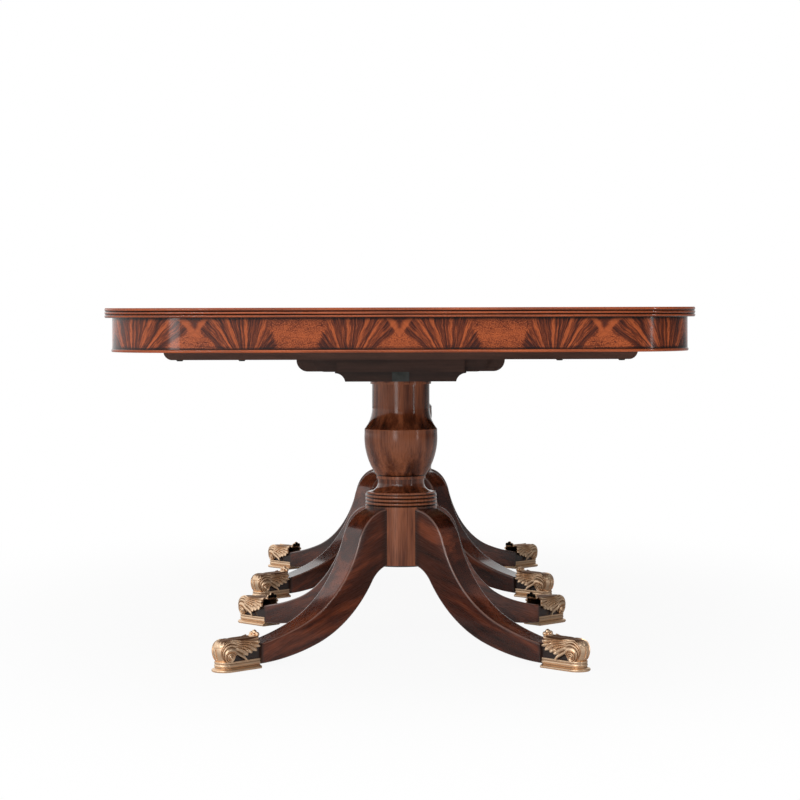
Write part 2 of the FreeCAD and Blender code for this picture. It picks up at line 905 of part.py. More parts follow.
eased = leg.newObject("PartDesign::Fillet", "leg_eased")
eased.Base = (sawn, long_arrises(sawn.Shape))
bind(eased, "Radius", size.leg_arris_radius)
cope = add_sketch(leg, "cope", "XY_Plane", leg_crown)
draw_circle(cope, (0, 0), size.drum_radius)
add_feature(leg, "Pocket", cope, "coped")
tenon_plan = add_sketch(leg, "tenon_plan", "XY_Plane", drum_bottom)
draw(tenon_plan, dovetail_plan(0))
add_feature(leg, "Pad", tenon_plan, "dovetail", dovetail_top - drum_bottom)
place(leg, y=-pedestal_y, turn=LEG_ANGLES[FIRST_LEG])
keep(leg)

# Toe cap, built about the middle of its rounded toe: leaf body over the foot with a scalloped edge,
# turned toe and plinth, straight plinth behind, stalks, volutes and a bud of three lobes
cap = new_body(f"toe_cap_{FIRST_LEG}_near")
waist_bottom = size.plinth_foot_height
waist_top = waist_bottom + size.plinth_waist_height
plinth_top = waist_top + size.plinth_ovolo_height


def scallops(start, end, count):
    """Corners of a row of equal scallops from one point towards another."""
    run = (end[0] - start[0]) / count
    rise = (end[1] - start[1]) / count
    steps = range(count)
    return [(start[0] + k * run, start[1] + k * rise, size.leaf_scallop_radius) for k in steps]


leaf_face = add_sketch(cap, "leaf_face", "XZ_Plane")
leaf_top_rear = (-size.cap_grip, size.leaf_rear_top)
leaf_low_rear = (size.leaf_corner_inset - size.cap_grip, size.leaf_corner_height)
leaf_low_front = (-size.leaf_front_setback, size.leaf_lower_edge)
leaf_outline = [(0, size.leaf_lower_edge), (0, size.toe_height)]
leaf_outline += scallops(leaf_top_rear, leaf_low_rear, 3)
leaf_outline += scallops(leaf_low_rear, leaf_low_front, 4)
leaf_outline += [leaf_low_front]
draw(leaf_face, leaf_outline)
leaf_body = add_feature(cap, "Pad", leaf_face, "leaf", size.leaf_half_width * 2, midplane=True)
doc.recompute()
top_edges = [
    f"Edge{number}"
    for number, edge in enumerate(leaf_body.Shape.Edges, start=1)
    if min(v.Z for v in edge.Vertexes) > size.toe_belly_height.value
    and edge.BoundBox.XLength > size.cap_grip.value / 2
]
leaf_crown = cap.newObject("PartDesign::Fillet", "cap_leaf_crown")
leaf_crown.Base = (leaf_body, top_edges)
bind(leaf_crown, "Radius", size.leaf_crown_radius)

plinth_waist = size.plinth_half_width - size.plinth_waist_inset
foot_radius = size.plinth_foot_height / 2
NEARLY_HALF_ROUND = 1.02
plinth_edge = [
    (size.plinth_half_width - foot_radius, 0, foot_radius * NEARLY_HALF_ROUND),
    (size.plinth_half_width - foot_radius, waist_bottom),
    (plinth_waist, waist_bottom),
    (plinth_waist, waist_top, arc_radius(size.plinth_ovolo_height, size.plinth_ovolo_swell)),
    (plinth_waist, plinth_top),
]
toe_face = add_sketch(cap, "toe_face", "XZ_Plane")
toe_profile = [(0, 0)] + plinth_edge
toe_profile += [
    (size.toe_foot_radius, plinth_top, size.toe_belly_curve),
    (size.toe_belly_radius, size.toe_belly_height, size.toe_dome_curve),
    (size.toe_crown_radius, size.toe_height),
    (0, size.toe_height),
]
draw(toe_face, toe_profile)
revolve(cap, "Revolution", toe_face, "toe")

plinth_face = add_sketch(cap, "plinth_face", "YZ_Plane", -size.cap_grip)
mirrored_edge = []
for index in range(len(plinth_edge) - 1, -1, -1):
    corner = (-plinth_edge[index][0], plinth_edge[index][1])
    bent = index > 0 and len(plinth_edge[index - 1]) == 3
    mirrored_edge.append(corner + (plinth_edge[index - 1][2],) if bent else corner)
draw(plinth_face, plinth_edge + mirrored_edge)
add_feature(cap, "Pad", plinth_face, "plinth", size.cap_grip)

stalk_face = add_sketch(cap, "stalk_face", "XZ_Plane")
stalk_foot = plinth_top - size.stalk_seat
stalk_head = size.leaf_lower_edge + size.stalk_seat
stalk_front = -size.leaf_front_setback
draw(
    stalk_face,
    [
        (stalk_front, stalk_head),
        (stalk_front - size.stalk_width, stalk_head),
        (stalk_front - size.stalk_lean - size.stalk_width, stalk_foot),
        (stalk_front - size.stalk_lean, stalk_foot),
    ],
)
add_feature(cap, "Pad", stalk_face, "stalks", size.leaf_half_width * 2, midplane=True)

for name, radius, reach in (
    ("volute", size.volute_radius, size.volute_half_width),
    ("eye", size.volute_eye_radius, size.volute_eye_half_width),
):
    disc = add_sketch(cap, name, "XZ_Plane")
    draw_circle(disc, (size.volute_lead, size.volute_height), radius)
    add_feature(cap, "Pad", disc, f"{name}_disc", reach * 2, midplane=True)

doc.recompute()
SIDE_LOBE = 0.75
for lobe, (across, share) in enumerate(((0, 1), (-1, SIDE_LOBE), (1, SIDE_LOBE))):
    bud = cap.newObject("PartDesign::AdditiveSphere", f"cap_bud_{lobe}")
    bind(bud, "Radius", share * size.bud_radius)
    bud.Placement.Rotation = FreeCAD.Rotation(FreeCAD.Vector(0, 0, 1), HALF_TURN)
    bind(bud, "Placement.Base.x", -size.bud_setback)
    bind(bud, "Placement.Base.y", across * size.bud_spread)
    bind(bud, "Placement.Base.z", size.bud_rise - abs(across) * size.bud_drop)

# Channel for the leg's foot, closed above by a straight line that clears the foot's curve
channel = add_sketch(cap, "channel", "XZ_Plane")
curve_radius = size.toe_curve_radius
curve_centre_x = curve_radius * sin(size.toe_slope)
curve_centre_z = size.foot_top + curve_radius * cos(size.toe_slope)
channel_back = size.cap_grip * 1.1
back_run = channel_back + curve_centre_x
foot_top_at_heel = curve_centre_z - sqrt(curve_radius * curve_radius - back_run * back_run)
draw(
    channel,
    [
        (-channel_back, size.foot_sole),
        (size.cap_clearance, size.foot_sole),
        (size.cap_clearance, size.foot_top + size.cap_clearance),
        (-channel_back, foot_top_at_heel + size.cap_clearance),
    ],
)
channel_width = (size.foot_heel_half_width + size.cap_clearance) * 2
add_feature(cap, "Pocket", channel, "foot_channel", channel_width, midplane=True)

diagonal = size.foot_reach * math.sqrt(0.5)
for half, name in ((NEAR, "near"), (FAR, "far")):
    for corner, angle in LEG_ANGLES.items():
        cap_x = diagonal * round(math.sqrt(2) * math.cos(math.radians(angle)))
        cap_y = half * pedestal_y + diagonal * round(math.sqrt(2) * math.sin(math.radians(angle)))
        if (corner, name) == (FIRST_LEG, "near"):
            place(cap, cap_x, cap_y, turn=angle)
            keep(cap)
            continue
        keep(clone(leg, f"leg_{corner}_{name}", y=half * pedestal_y, turn=angle))
        keep(clone(cap, f"toe_cap_{corner}_{name}", x=cap_x, y=cap_y, turn=angle))

# Steel disc screwed under the drum, which keeps the dovetails from dropping out
for half, name in ((NEAR, "near"), (FAR, "far")):
    disc = doc.addObject("Part::Cylinder", f"leg_brace_disc_{name}")
    disc.Label = f"leg_brace_disc_{name}"
    bind(disc, "Radius", size.brace_radius)
    bind(disc, "Height", size.brace_thickness)
    place(disc, y=half * pedestal_y, z=drum_bottom - size.brace_thickness)
    keep(disc)

# Telescopic slides: a fixed runner of each half, grooved on one side, and a tongued middle runner
runner_top = top_underside - size.runner_top_gap
runner_centre_z = (packing_underside + runner_top) / 2
runner_half = size.runner_width / 2
runner_half_height = (runner_top - packing_underside) / 2
groove_half = size.groove_height / 2
runner = new_body("fixed_runner")
runner_end = add_sketch(runner, "section", "XZ_Plane", -size.runner_free_reach)
draw(
    runner_end,
    [
        (runner_half, -runner_half_height),
        (runner_half, runner_half_height),
        (-runner_half, runner_half_height),
        (-runner_half, groove_half),
        (size.groove_depth - runner_half, groove_half),
        (size.groove_depth - runner_half, -groove_half),
        (-runner_half, -groove_half),
        (-runner_half, -runner_half_height),
    ],
)
runner_length = size.runner_free_reach + size.runner_back_reach
add_feature(runner, "Pad", runner_end, "rail", runner_length)

runner_pitch = size.runner_width + size.runner_side_gap
near_x = runner_outer_x - runner_half
middle_x = near_x - runner_pitch
far_x = middle_x - runner_pitch
ALONG_X = FreeCAD.Vector(1, 0, 0)
ALONG_Y = FreeCAD.Vector(0, 1, 0)
keep(
    group(
        "fixed_runners_near",
        [
            clone(runner, "runner_right_near", x=near_x, z=runner_centre_z),
            clone(
                runner,
                "runner_left_near",
                x=-near_x,
                z=runner_centre_z,
                turn=HALF_TURN,
                axis=ALONG_Y,
            ),
        ],
    ),
    group(
        "fixed_runners_far",
        [
            clone(runner, "runner_right_far", x=far_x, z=runner_centre_z, turn=HALF_TURN),
            clone(
                runner,
                "runner_left_far",
                x=-far_x,
                z=runner_centre_z,
                turn=HALF_TURN,
                axis=ALONG_X,
            ),
        ],
    ),
)

tongued = new_body("middle_runner")
tongued_end = add_sketch(tongued, "section", "XZ_Plane")
tongue_half = groove_half - size.tongue_clearance
tongue_tip = runner_half + size.runner_side_gap + size.groove_depth - size.tongue_clearance
tongued_half = [
    (runner_half, -runner_half_height),
    (runner_half, -tongue_half),
    (tongue_tip, -tongue_half),
    (tongue_tip, tongue_half),
    (runner_half, tongue_half),
    (runner_half, runner_half_height),
]
draw(tongued_end, tongued_half + [(-x, -z) for x, z in tongued_half])
add_feature(tongued, "Pad", tongued_end, "rail", size.runner_free_reach * 2, midplane=True)
keep(
    group(
        "middle_runners",
        [
            clone(tongued, f"middle_runner_{name}", x=side * middle_x, z=runner_centre_z)
            for name, side in SIDES.items()
        ],
    )
)

# Battens under the top that close the outer ends of the fixed runners
for half, name in ((NEAR, "near"), (FAR, "far")):
    inner = half * size.runner_back_reach
    outer = half * (size.runner_back_reach + size.batten_thickness)
    low_y, high_y = (outer, inner) if half == NEAR else (inner, outer)
    keep(
        box(
            f"slide_batten_{name}",
            (-runner_outer_x, low_y, packing_underside),
            (runner_outer_x, high_y, top_underside),
        )
    )

# Alignment pins across the split
pins = []
for number, step in enumerate((-1, 0, 1), start=1):
    pin = doc.addObject("Part::Cylinder", f"alignment_pin_{number}")
    bind(pin, "Radius", size.pin_radius)
    bind(pin, "Height", size.pin_length)
    pin_start = size.pin_length / 2
    place(pin, step * pin_x, pin_start, pin_z, turn=QUARTER_TURN, axis=ALONG_X)
    pins.append(pin)
keep(group("alignment_pins", pins))

# Latches: a steel hook that swings on a pivot let into the near panel, and a keeper stud under the
# far panel that its open slot takes. The hook rests pointing along the split, unlocked
latch_reach = size.latch_setback * 2
latch_half = size.latch_width / 2
latch_top = top_underside - size.latch_drop
slot_half = size.pivot_radius + size.keeper_clearance
nose = latch_reach + slot_half + size.pivot_radius
hook_tip = nose + latch_half / 2
for side_name, side in SIDES.items():
    latch = new_body(f"latch_{side_name}")
    hook = add_sketch(latch, "hook", "XY_Plane", latch_top - size.latch_thickness)
    hook_outline = [
        (latch_half, -latch_half),
        (-nose, -latch_half),
        (-hook_tip, -latch_half / 2),
        (-hook_tip, latch_half / 2),
        (-nose, latch_half),
        (-latch_reach - slot_half, latch_half),
        (-latch_reach - slot_half, -slot_half),
        (slot_half - latch_reach, -slot_half),
        (slot_half - latch_reach, latch_half),
        (latch_half, latch_half),
    ]
    turned = [(side * x, y) for x, y in hook_outline]
    draw(hook, turned)
    add_feature(latch, "Pad", hook, "plate", size.latch_thickness)
    stem = add_sketch(latch, "stem", "XY_Plane", latch_top)
    draw_circle(stem, (0, 0), size.pivot_radius)
    add_feature(latch, "Pad", stem, "pivot", size.latch_drop + size.pivot_depth)
    place(latch, side * latch_x, -size.latch_setback)
    keep(latch)

keeper = new_body("keeper_stud")
stud = add_sketch(keeper, "outline", "XZ_Plane")
keeper_head_top = latch_top - size.latch_thickness - size.keeper_clearance
draw(
    stud,
    [
        (0, keeper_head_top - size.keeper_head_height),
        (size.keeper_head_radius, keeper_head_top - size.keeper_head_height),
        (size.keeper_head_radius, keeper_head_top),
        (size.pivot_radius, keeper_head_top),
        (size.pivot_radius, top_underside + size.pivot_depth),
        (0, top_underside + size.pivot_depth),
    ],
)
revolve(keeper, "Revolution", stud, "turned")
keep(
    group(
        "latch_keepers",
        [
            clone(keeper, f"keeper_{name}", x=side * latch_x, y=size.latch_setback)
            for name, side in SIDES.items()
        ],
    )
)

doc.recompute()
for item in doc.Objects:
    if "Invalid" in item.State or "Error" in item.State:
        raise RuntimeError(f"{item.Label} did not build: {item.State}")
for node in nodes:
    if node.Shape.isNull() or not node.Shape.isValid():
        raise RuntimeError(f"{node.Label} has no valid shape")

os.makedirs("parts", exist_ok=True)
for node in nodes:
    node.Shape.exportStep(f"parts/{node.Label}.step")
    print(node.Label, len(node.Shape.Solids), round(node.Shape.Volume))
print(len(nodes), "nodes")
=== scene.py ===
"""Looks of a twin-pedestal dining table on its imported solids: mahogany, flame veneer and cast brass."""
import math

import bmesh
import bpy
import numpy as np
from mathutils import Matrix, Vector


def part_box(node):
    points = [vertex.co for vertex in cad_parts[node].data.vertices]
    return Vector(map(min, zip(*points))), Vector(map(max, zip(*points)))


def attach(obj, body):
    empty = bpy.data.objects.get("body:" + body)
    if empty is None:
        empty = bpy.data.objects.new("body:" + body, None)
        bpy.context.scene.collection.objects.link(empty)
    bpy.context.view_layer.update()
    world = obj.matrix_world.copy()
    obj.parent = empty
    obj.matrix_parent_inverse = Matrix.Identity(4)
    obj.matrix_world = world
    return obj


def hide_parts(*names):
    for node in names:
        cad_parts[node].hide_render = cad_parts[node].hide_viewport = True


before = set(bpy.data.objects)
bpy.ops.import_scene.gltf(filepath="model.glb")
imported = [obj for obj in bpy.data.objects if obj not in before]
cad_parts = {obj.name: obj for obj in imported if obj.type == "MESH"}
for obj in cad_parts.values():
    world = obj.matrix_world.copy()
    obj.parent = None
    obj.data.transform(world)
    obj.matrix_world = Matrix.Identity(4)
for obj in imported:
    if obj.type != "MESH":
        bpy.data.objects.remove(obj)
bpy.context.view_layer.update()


# Columns: each is one turned length of solid mahogany from collar to drum, stained and French polished.
# The grain runs up the turning and shows as long dark streaks. The fillets, the reeds of the ring and the
# bulb's top arris carry painted highlights; the grooves, the cove, the neck and the drum beside the legs
# carry painted shade.
class Field:
    """A socket in a material's node tree; arithmetic on it adds nodes to that tree."""

    def __init__(self, tree, socket=None):
        self.tree = tree
        self.socket = socket

    def node(self, kind, settings=None, sockets=None, output=0):
        """Add a node, give it its settings, then feed its sockets with values or other fields."""
        made = self.tree.nodes.new("ShaderNode" + kind)
        for name, setting in (settings or {}).items():
            if name == "stops":
                ramp = made.color_ramp.elements
                while len(ramp) < len(setting):
                    ramp.new(1.0)
                for stop, (place, colour) in zip(ramp, setting):
                    stop.position = place
                    stop.color = colour
            else:
                setattr(made, name, setting)
        for name, value in (sockets or {}).items():
            if isinstance(value, Field):
                self.tree.links.new(value.socket, made.inputs[name])
            else:
                made.inputs[name].default_value = value
        return Field(self.tree, made.outputs[output])

    def maths(self, operation, *values):
        """One Math node on numbers or fields."""
        return self.node("Math", {"operation": operation}, dict(enumerate(values)))

    def __add__(self, other):
        return self.maths("ADD", self, other)

    def __sub__(self, other):
        return self.maths("SUBTRACT", self, other)

    def __rsub__(self, other):
        return self.maths("SUBTRACT", other, self)

    def __mul__(self, other):
        return self.maths("MULTIPLY", self, other)

    def __truediv__(self, other):
        return self.maths("DIVIDE", self, other)

    def __rtruediv__(self, other):
        return self.maths("DIVIDE", other, self)

    def __abs__(self):
        return self.maths("ABSOLUTE", self)

    __radd__ = __add__
    __rmul__ = __mul__

    def length(self, other):
        """Hypotenuse over this number and another."""
        return self.maths("SQRT", self * self + other * other)

    def fold(self, width):
        """There and back between 0 and width."""
        return self.maths("PINGPONG", self, width)

    def parts(self):
        """The three numbers of a vector."""
        split = self.node("SeparateXYZ", {}, {0: self}).socket.node
        return [Field(self.tree, socket) for socket in split.outputs]

    def vector(self, x, y, z):
        """A vector of three numbers or fields."""
        return self.node("CombineXYZ", {}, {0: x, 1: y, 2: z})

    def rise(self, low, high):
        """0 below low, 1 above high, smooth between; falls instead where low is the larger."""
        return self.node("MapRange", {"interpolation_type": "SMOOTHSTEP"}, {0: self, 1: low, 2: high})

    def within(self, low, high, soft):
        """1 between low and high, 0 outside, with soft edges."""
        return self.rise(low - soft, low + soft) * self.rise(high + soft, high - soft)

    def noise(self, scale=1.0, detail=3.0, roughness=0.55):
        """Noise at this place, from about -0.5 to 0.5."""
        sockets = {"Vector": self, "Scale": scale, "Detail": detail, "Roughness": roughness}
        return self.node("TexNoise", {}, sockets) - 0.5

    def blend(self, first, second):
        """From the first colour where this is 0 to the second where it is 1."""
        return self.node("Mix", {"data_type": "RGBA"}, {0: self, 6: first, 7: second}, 2)

    def ramp(self, *stops):
        """Colour by this number, blended between stops of a place and a colour."""
        opaque = [(place, (*colour, 1.0)) for place, colour in stops]
        return self.node("ValToRGB", {"stops": opaque}, {0: self})

    def darken(self, factor):
        """This colour times a number."""
        return self.node("VectorMath", {"operation": "SCALE"}, {0: self, "Scale": factor})

    def relief(self, strength, distance):
        """Normals of a surface raised by this number."""
        return self.node("Bump", {}, {"Strength": strength, "Distance": distance, "Height": self})


def surface(name, **constants):
    """A material with one Principled shader: returns it, its shader and the object's own coordinates."""
    material = bpy.data.materials.new(name)
    material.use_nodes = True
    tree = material.node_tree
    shader = tree.nodes["Principled BSDF"]
    for socket, value in constants.items():
        shader.inputs[socket.replace("_", " ")].default_value = value
    return material, shader, Field(tree).node("TexCoord", output="Object")


def feed(shader, **fields):
    """Link fields to the shader's sockets of the same names."""
    for socket, field in fields.items():
        field.tree.links.new(field.socket, shader.inputs[socket.replace("_", " ")])


def dress(material, *nodes):
    """Give CAD nodes of both halves a material through their objects' own slots."""
    for name in nodes:
        for half in ("_near", "_far", ""):
            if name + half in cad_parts:
                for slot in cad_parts[name + half].material_slots:
                    slot.link = "OBJECT"
                    slot.material = material


low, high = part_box("column_far")
pedestal_y = (low.y + high.y) / 2
ring_foot, ring_reed, ring_top = 0.3240, 0.0083, 0.3489
fillets = ((0.3489, 0.3539), (0.3831, 0.3896), (0.6000, 0.6040))
cove_foot, cove_top = 0.4969, 0.5300
drum_top, bulb_foot, arris_foot = 0.3223, 0.3896, 0.4953

column_wood, shader, place = surface(
    "column_mahogany", Specular_IOR_Level=0.2, Coat_Weight=0.4, Coat_Roughness=0.14
)
x, y, z = place.parts()
across = abs(y) - pedestal_y
streaks = place.vector(x, across, z * 0.06).noise(46.0, 4.0, 0.62)
bands = place.vector(x + 3.0, across, z * 0.16).noise(15.0, 2.0)
pores = place.vector(x, across, z * 0.04).noise(430.0, 1.0)
reed = ((z - ring_foot) / ring_reed).fold(0.5)
# Painted shade: darker in the ring's grooves, the quirk at the bulb's foot and the step above the drum.
groove = reed.rise(0.36, 0.14) * z.within(ring_foot - 0.001, ring_top + 0.001, 0.0004)
groove = groove + z.within(bulb_foot, bulb_foot + 0.003, 0.0006) + z.within(drum_top, ring_foot, 0.0004)
# Painted highlights: lighter on the ring's reeds, the bulb's top arris and the fillets.
painted_highlight = z.within(ring_foot, ring_top, 0.0005) * 0.34 + z.within(arris_foot, cove_foot, 0.0004) * 0.3
for foot, top in fillets:
    painted_highlight = painted_highlight + z.within(foot, top, 0.0005) * 0.26
quarter = (x.maths("ARCTAN2", x, across) * (180 / math.pi)).fold(45.0)
drum = z.rise(drum_top + 0.001, drum_top - 0.001)
# Painted shade on the drum beside each leg.
beside_leg = quarter.rise(23.0, 29.0) * drum
# Painted shade: the cove is darker, and the neck above it a little darker.
sunk = z.rise(cove_foot - 0.001, cove_foot + 0.002) * z.rise(cove_top + 0.03, cove_foot + 0.004)
neck = z.rise(cove_top, cove_top + 0.03)
tone = streaks * 1.9 + bands * 1.7 + 0.68 + painted_highlight + drum * 0.13 - sunk * 0.30 - neck * 0.08
wood = tone.ramp((0.12, (0.024, 0.007, 0.004)), (0.5, (0.150, 0.040, 0.016)), (0.86, (0.350, 0.108, 0.044)))
shade = (pores.rise(-0.2, 0.0) * 0.3 + 0.7) * (1.0 - groove * 0.85) * (1.0 - beside_leg * 0.7)
ripple = place.vector(x, across, z * 0.3).noise(24.0, 1.0).relief(0.04, 0.002)
burnished = z.within(ring_top + 0.005, bulb_foot - 0.007, 0.002)
burnished = burnished + z.within(cove_foot, cove_top + 0.02, 0.003)
feed(shader, Base_Color=wood.darken(shade), Roughness=pores * 0.12 + 0.26 - burnished * 0.16, Normal=ripple)
dress(column_wood, "column")


# Sabre legs: four to a pedestal, sawn from thick mahogany plank to a swept shape, dovetailed into the drum.
# The plank's grain runs down the leg's chord, so the side faces show slanting figure. The arrises carry
# a painted pale highlight, the wood next to the drum is painted darker as shade, and the foot that goes
# into the cap is darkened to near black.
ankle_out = 0.4477
root_out, root_half_width, thinning = 0.07, 0.0315, 0.0172
drum_inside, drum_outside = 0.080, 0.098
chord_cos, chord_sin = 0.95, 0.31

leg_wood, shader, place = surface(
    "leg_mahogany", Specular_IOR_Level=0.2, Coat_Weight=1.0, Coat_Roughness=0.11
)
x, y, z = place.parts()
pedestal = abs(y) - pedestal_y
out = (abs(x) + abs(pedestal)) * math.sqrt(0.5)
side = (abs(x) - abs(pedestal)) * math.sqrt(0.5)
which = x.maths("SIGN", x) * 3.1 + x.maths("SIGN", pedestal) * 7.3 + x.maths("SIGN", y) * 1.7
down = out * chord_cos - z * chord_sin
over = out * chord_sin + z * chord_cos
sway = place.vector(out * 5.0 + which, z * 5.0, side * 3.0).noise(1.0, 1.0) * 0.05
bands = place.vector(down * 4.0 + which, (over + sway) * 19.0, side * 14.0).noise(1.0, 2.0, 0.5)
figure = place.vector(down * 11.0 + which, (over + sway) * 75.0, side * 40.0).noise(1.0, 3.0, 0.6)
pores = place.vector(down * 30.0, over * 600.0, side * 600.0).noise(1.0, 1.0)
from_side = root_half_width - (out - root_out) * thinning - abs(side)
arris = from_side.within(0.0007, 0.0030, 0.0005)
tone = bands * 1.25 + figure * 0.75 + 0.49
wood = tone.ramp(
    (0.12, (0.015, 0.0035, 0.002)), (0.5, (0.078, 0.017, 0.0075)), (0.88, (0.300, 0.072, 0.027))
)
foot = out.rise(ankle_out - 0.010, ankle_out + 0.003)
# Painted shade on the leg next to the drum.
at_drum = out.rise(drum_outside, drum_inside) * 0.75
shade = (pores.rise(-0.2, 0.0) * 0.3 + 0.7) * (1.0 - at_drum)
# Painted highlight: the arris is blended to a pale colour.
wood = (arris * 0.65).blend(wood.darken(shade), (0.360, 0.215, 0.175, 1.0))
wood = foot.blend(wood, (0.028, 0.015, 0.012, 1.0))
feed(shader, Base_Color=wood, Roughness=pores * 0.12 + 0.28 + foot * 0.2 - arris * 0.1)
dress(leg_wood, "leg_left_front", "leg_right_front", "leg_right_back", "leg_left_back")


# Toe caps: hollow sand-cast brass shoes, chased by hand and lacquered over a brown patina in the hollows.
# Moulded plinth, rounded toe with a beaded band and string, and on each side a volute whose ribs wind out
# of it and run back as acanthus fronds to a bud on the instep. Slipped over a leg's foot.
volute_u, volute_z, volute_r = 2.0, 32.0, 12.0  # millimetres, as all sizes of the cap
toe_turn = 24.0  # radius on which length round the toe is measured
toe_starts, toe_full = -30.0, -4.0
side_flat, side_round, shoulder_z = 12.5, 11.0, 57.0
belly_foot_z, belly_foot_r, belly_swell = 21.8, 17.8, 6.8
dome_foot_z, dome_rise, dome_top_r, dome_swell = 45.0, 21.0, 8.0, 16.6
fullness = 0.9


def quads(rows, columns, ring=False, capped=False):
    """Corners of a grid's faces, points kept row by row; a ring joins its last column to its first,
    and capped ends fold the first and last rows shut about the middle column."""
    row = np.arange(rows - 1)[:, None] * columns
    column = np.arange(columns - 1 + ring)[None, :]
    after = (column + 1) % columns
    corners = [row + column, row + after, row + columns + after, row + columns + column]
    faces = [np.stack(corners, -1).reshape(-1, 4)]
    if capped:
        k = np.arange(columns // 2 - 1)
        fold = np.stack([k, k + 1, columns - 2 - k, columns - 1 - k], -1)
        faces += [fold, fold + (rows - 1) * columns]
    return np.concatenate(faces)


def smooth(low, high, value):
    """3t^2 - 2t^3 of t = (value - low) / (high - low), held between 0 and 1."""
    t = np.clip((value - low) / (high - low), 0.0, 1.0)
    return t * t * (3.0 - 2.0 * t)


def piece(name, sheets, place, material, slot, body, *nodes):
    """Join sheets of points, faces and hollowness into one closed mesh, put in place by a matrix."""
    points = np.concatenate([sheet[0].reshape(-1, 3) for sheet in sheets])
    starts = np.cumsum([0] + [sheet[0].size // 3 for sheet in sheets[:-1]])
    faces = np.concatenate([sheet[1] + start for sheet, start in zip(sheets, starts)])
    hollow = np.concatenate([np.broadcast_to(sheet[2], sheet[0].shape[:-1]).ravel() for sheet in sheets])
    mesh = bpy.data.meshes.new(name)
    mesh.from_pydata((points @ place[:, :3].T + place[:, 3]).tolist(), [], faces.tolist())
    mesh.attributes.new("hollow", "FLOAT", "POINT").data.foreach_set("value", hollow.astype(np.float32))
    form = bmesh.new()
    form.from_mesh(mesh)
    bmesh.ops.remove_doubles(form, verts=form.verts, dist=2e-5)
    bmesh.ops.recalc_face_normals(form, faces=form.faces)
    form.to_mesh(mesh)
    form.free()
    mesh.shade_smooth()
    mesh.set_sharp_from_angle(angle=math.radians(50))
    mesh.materials.append(material)
    made = bpy.data.objects.new(name, mesh)
    bpy.context.scene.collection.objects.link(made)
    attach(made, body)
    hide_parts(*nodes)
    return made


def horseshoe(back, along, round_toe):
    """Plan of the cap, millimetres: up one side from u = back, round the toe by its angle and down the
    other. Gives the centre line's u, the outward direction and the angle at each station."""
    angle = np.concatenate([np.full(along, 90.0), np.linspace(90, -90, round_toe), np.full(along, -90.0)])
    run = back * (1.0 - np.linspace(0, 1, along, endpoint=False))
    u = np.concatenate([run, np.zeros(round_toe), run[::-1]])
    return u, np.cos(np.radians(angle)), np.sin(np.radians(angle)), angle


def stand(u, cos, sin, r, z):
    """Points at distance r from the centre line, out along each station's direction, at height z."""
    return np.stack([u[:, None] + cos[:, None] * r, sin[:, None] * r, np.broadcast_to(z, r.shape)], -1)


def plinth():
    """Swept moulding: a round-edged slab, a hollow, a torus, a quirk and a fillet; open at the heel.
    Inside, a bed and two walls take the leg's foot, and the wall thickens round the toe."""
    heel, waist = -82.0, 20.8
    slab_round, slab_reach = 3.2, 24.8
    hollow_foot, hollow_size, hollow_dark = 6.8, 2.8, 8.8
    torus_foot, torus_height, torus_swell = 10.0, 6.6, 1.5
    fillet_r, fillet_z, quirk_dark = (20.4, 21.7, 21.9), (17.2, 17.8, 18.6), 17.2
    lip_r, lip_z = 20.9, 21.0
    wall_r, toe_wall = 19.9, 5.5
    bed_z, wall_height = 9.3, 12.7
    u, cos, sin, angle = horseshoe(heel, 12, 41)
    turn = np.radians(np.linspace(-90, 90, 9))
    t = np.linspace(0, 1, 9)
    lip = np.radians(np.linspace(0, 90, 4))
    slab_r = slab_reach + slab_round * np.cos(turn)
    slab_z = slab_round + slab_round * np.sin(turn)
    hollow_r = waist + hollow_size * (1 - np.sin(np.pi / 2 * t))
    hollow_z = hollow_foot + hollow_size * t
    torus_r = waist + torus_swell * np.sin(np.pi * t)
    torus_z = torus_foot + torus_height * t
    r = np.concatenate([[0, 12], slab_r, hollow_r, torus_r, fillet_r, lip_r + np.cos(lip)])
    z = np.concatenate([[0, 0], slab_z, hollow_z, torus_z, fillet_z, lip_z + np.sin(lip)])
    count = len(r)
    toe = smooth(20, 60, 90 - np.abs(angle))[:, None]
    wall = wall_r - toe_wall * toe
    floor_part = np.minimum(np.linspace(0, 2.2, count), 1.0)
    rise_part = np.clip(np.linspace(-1.2, 1.0, count), 0.0, 1.0)
    inner_r = (wall * floor_part)[:, ::-1]
    inner_z = (bed_z + wall_height * rise_part)[::-1]
    radii = np.concatenate([np.broadcast_to(r, (len(u), count)), inner_r], 1)
    heights = np.concatenate([z, inner_z])
    points = stand(u, cos, sin, radii, heights)
    dark = np.exp(-((heights - hollow_dark) / 1.2) ** 2)
    dark = dark + 0.9 * np.exp(-((heights - quirk_dark) / 0.7) ** 2)
    return points, quads(*points.shape[:2], capped=True), np.broadcast_to(dark, radii.shape)


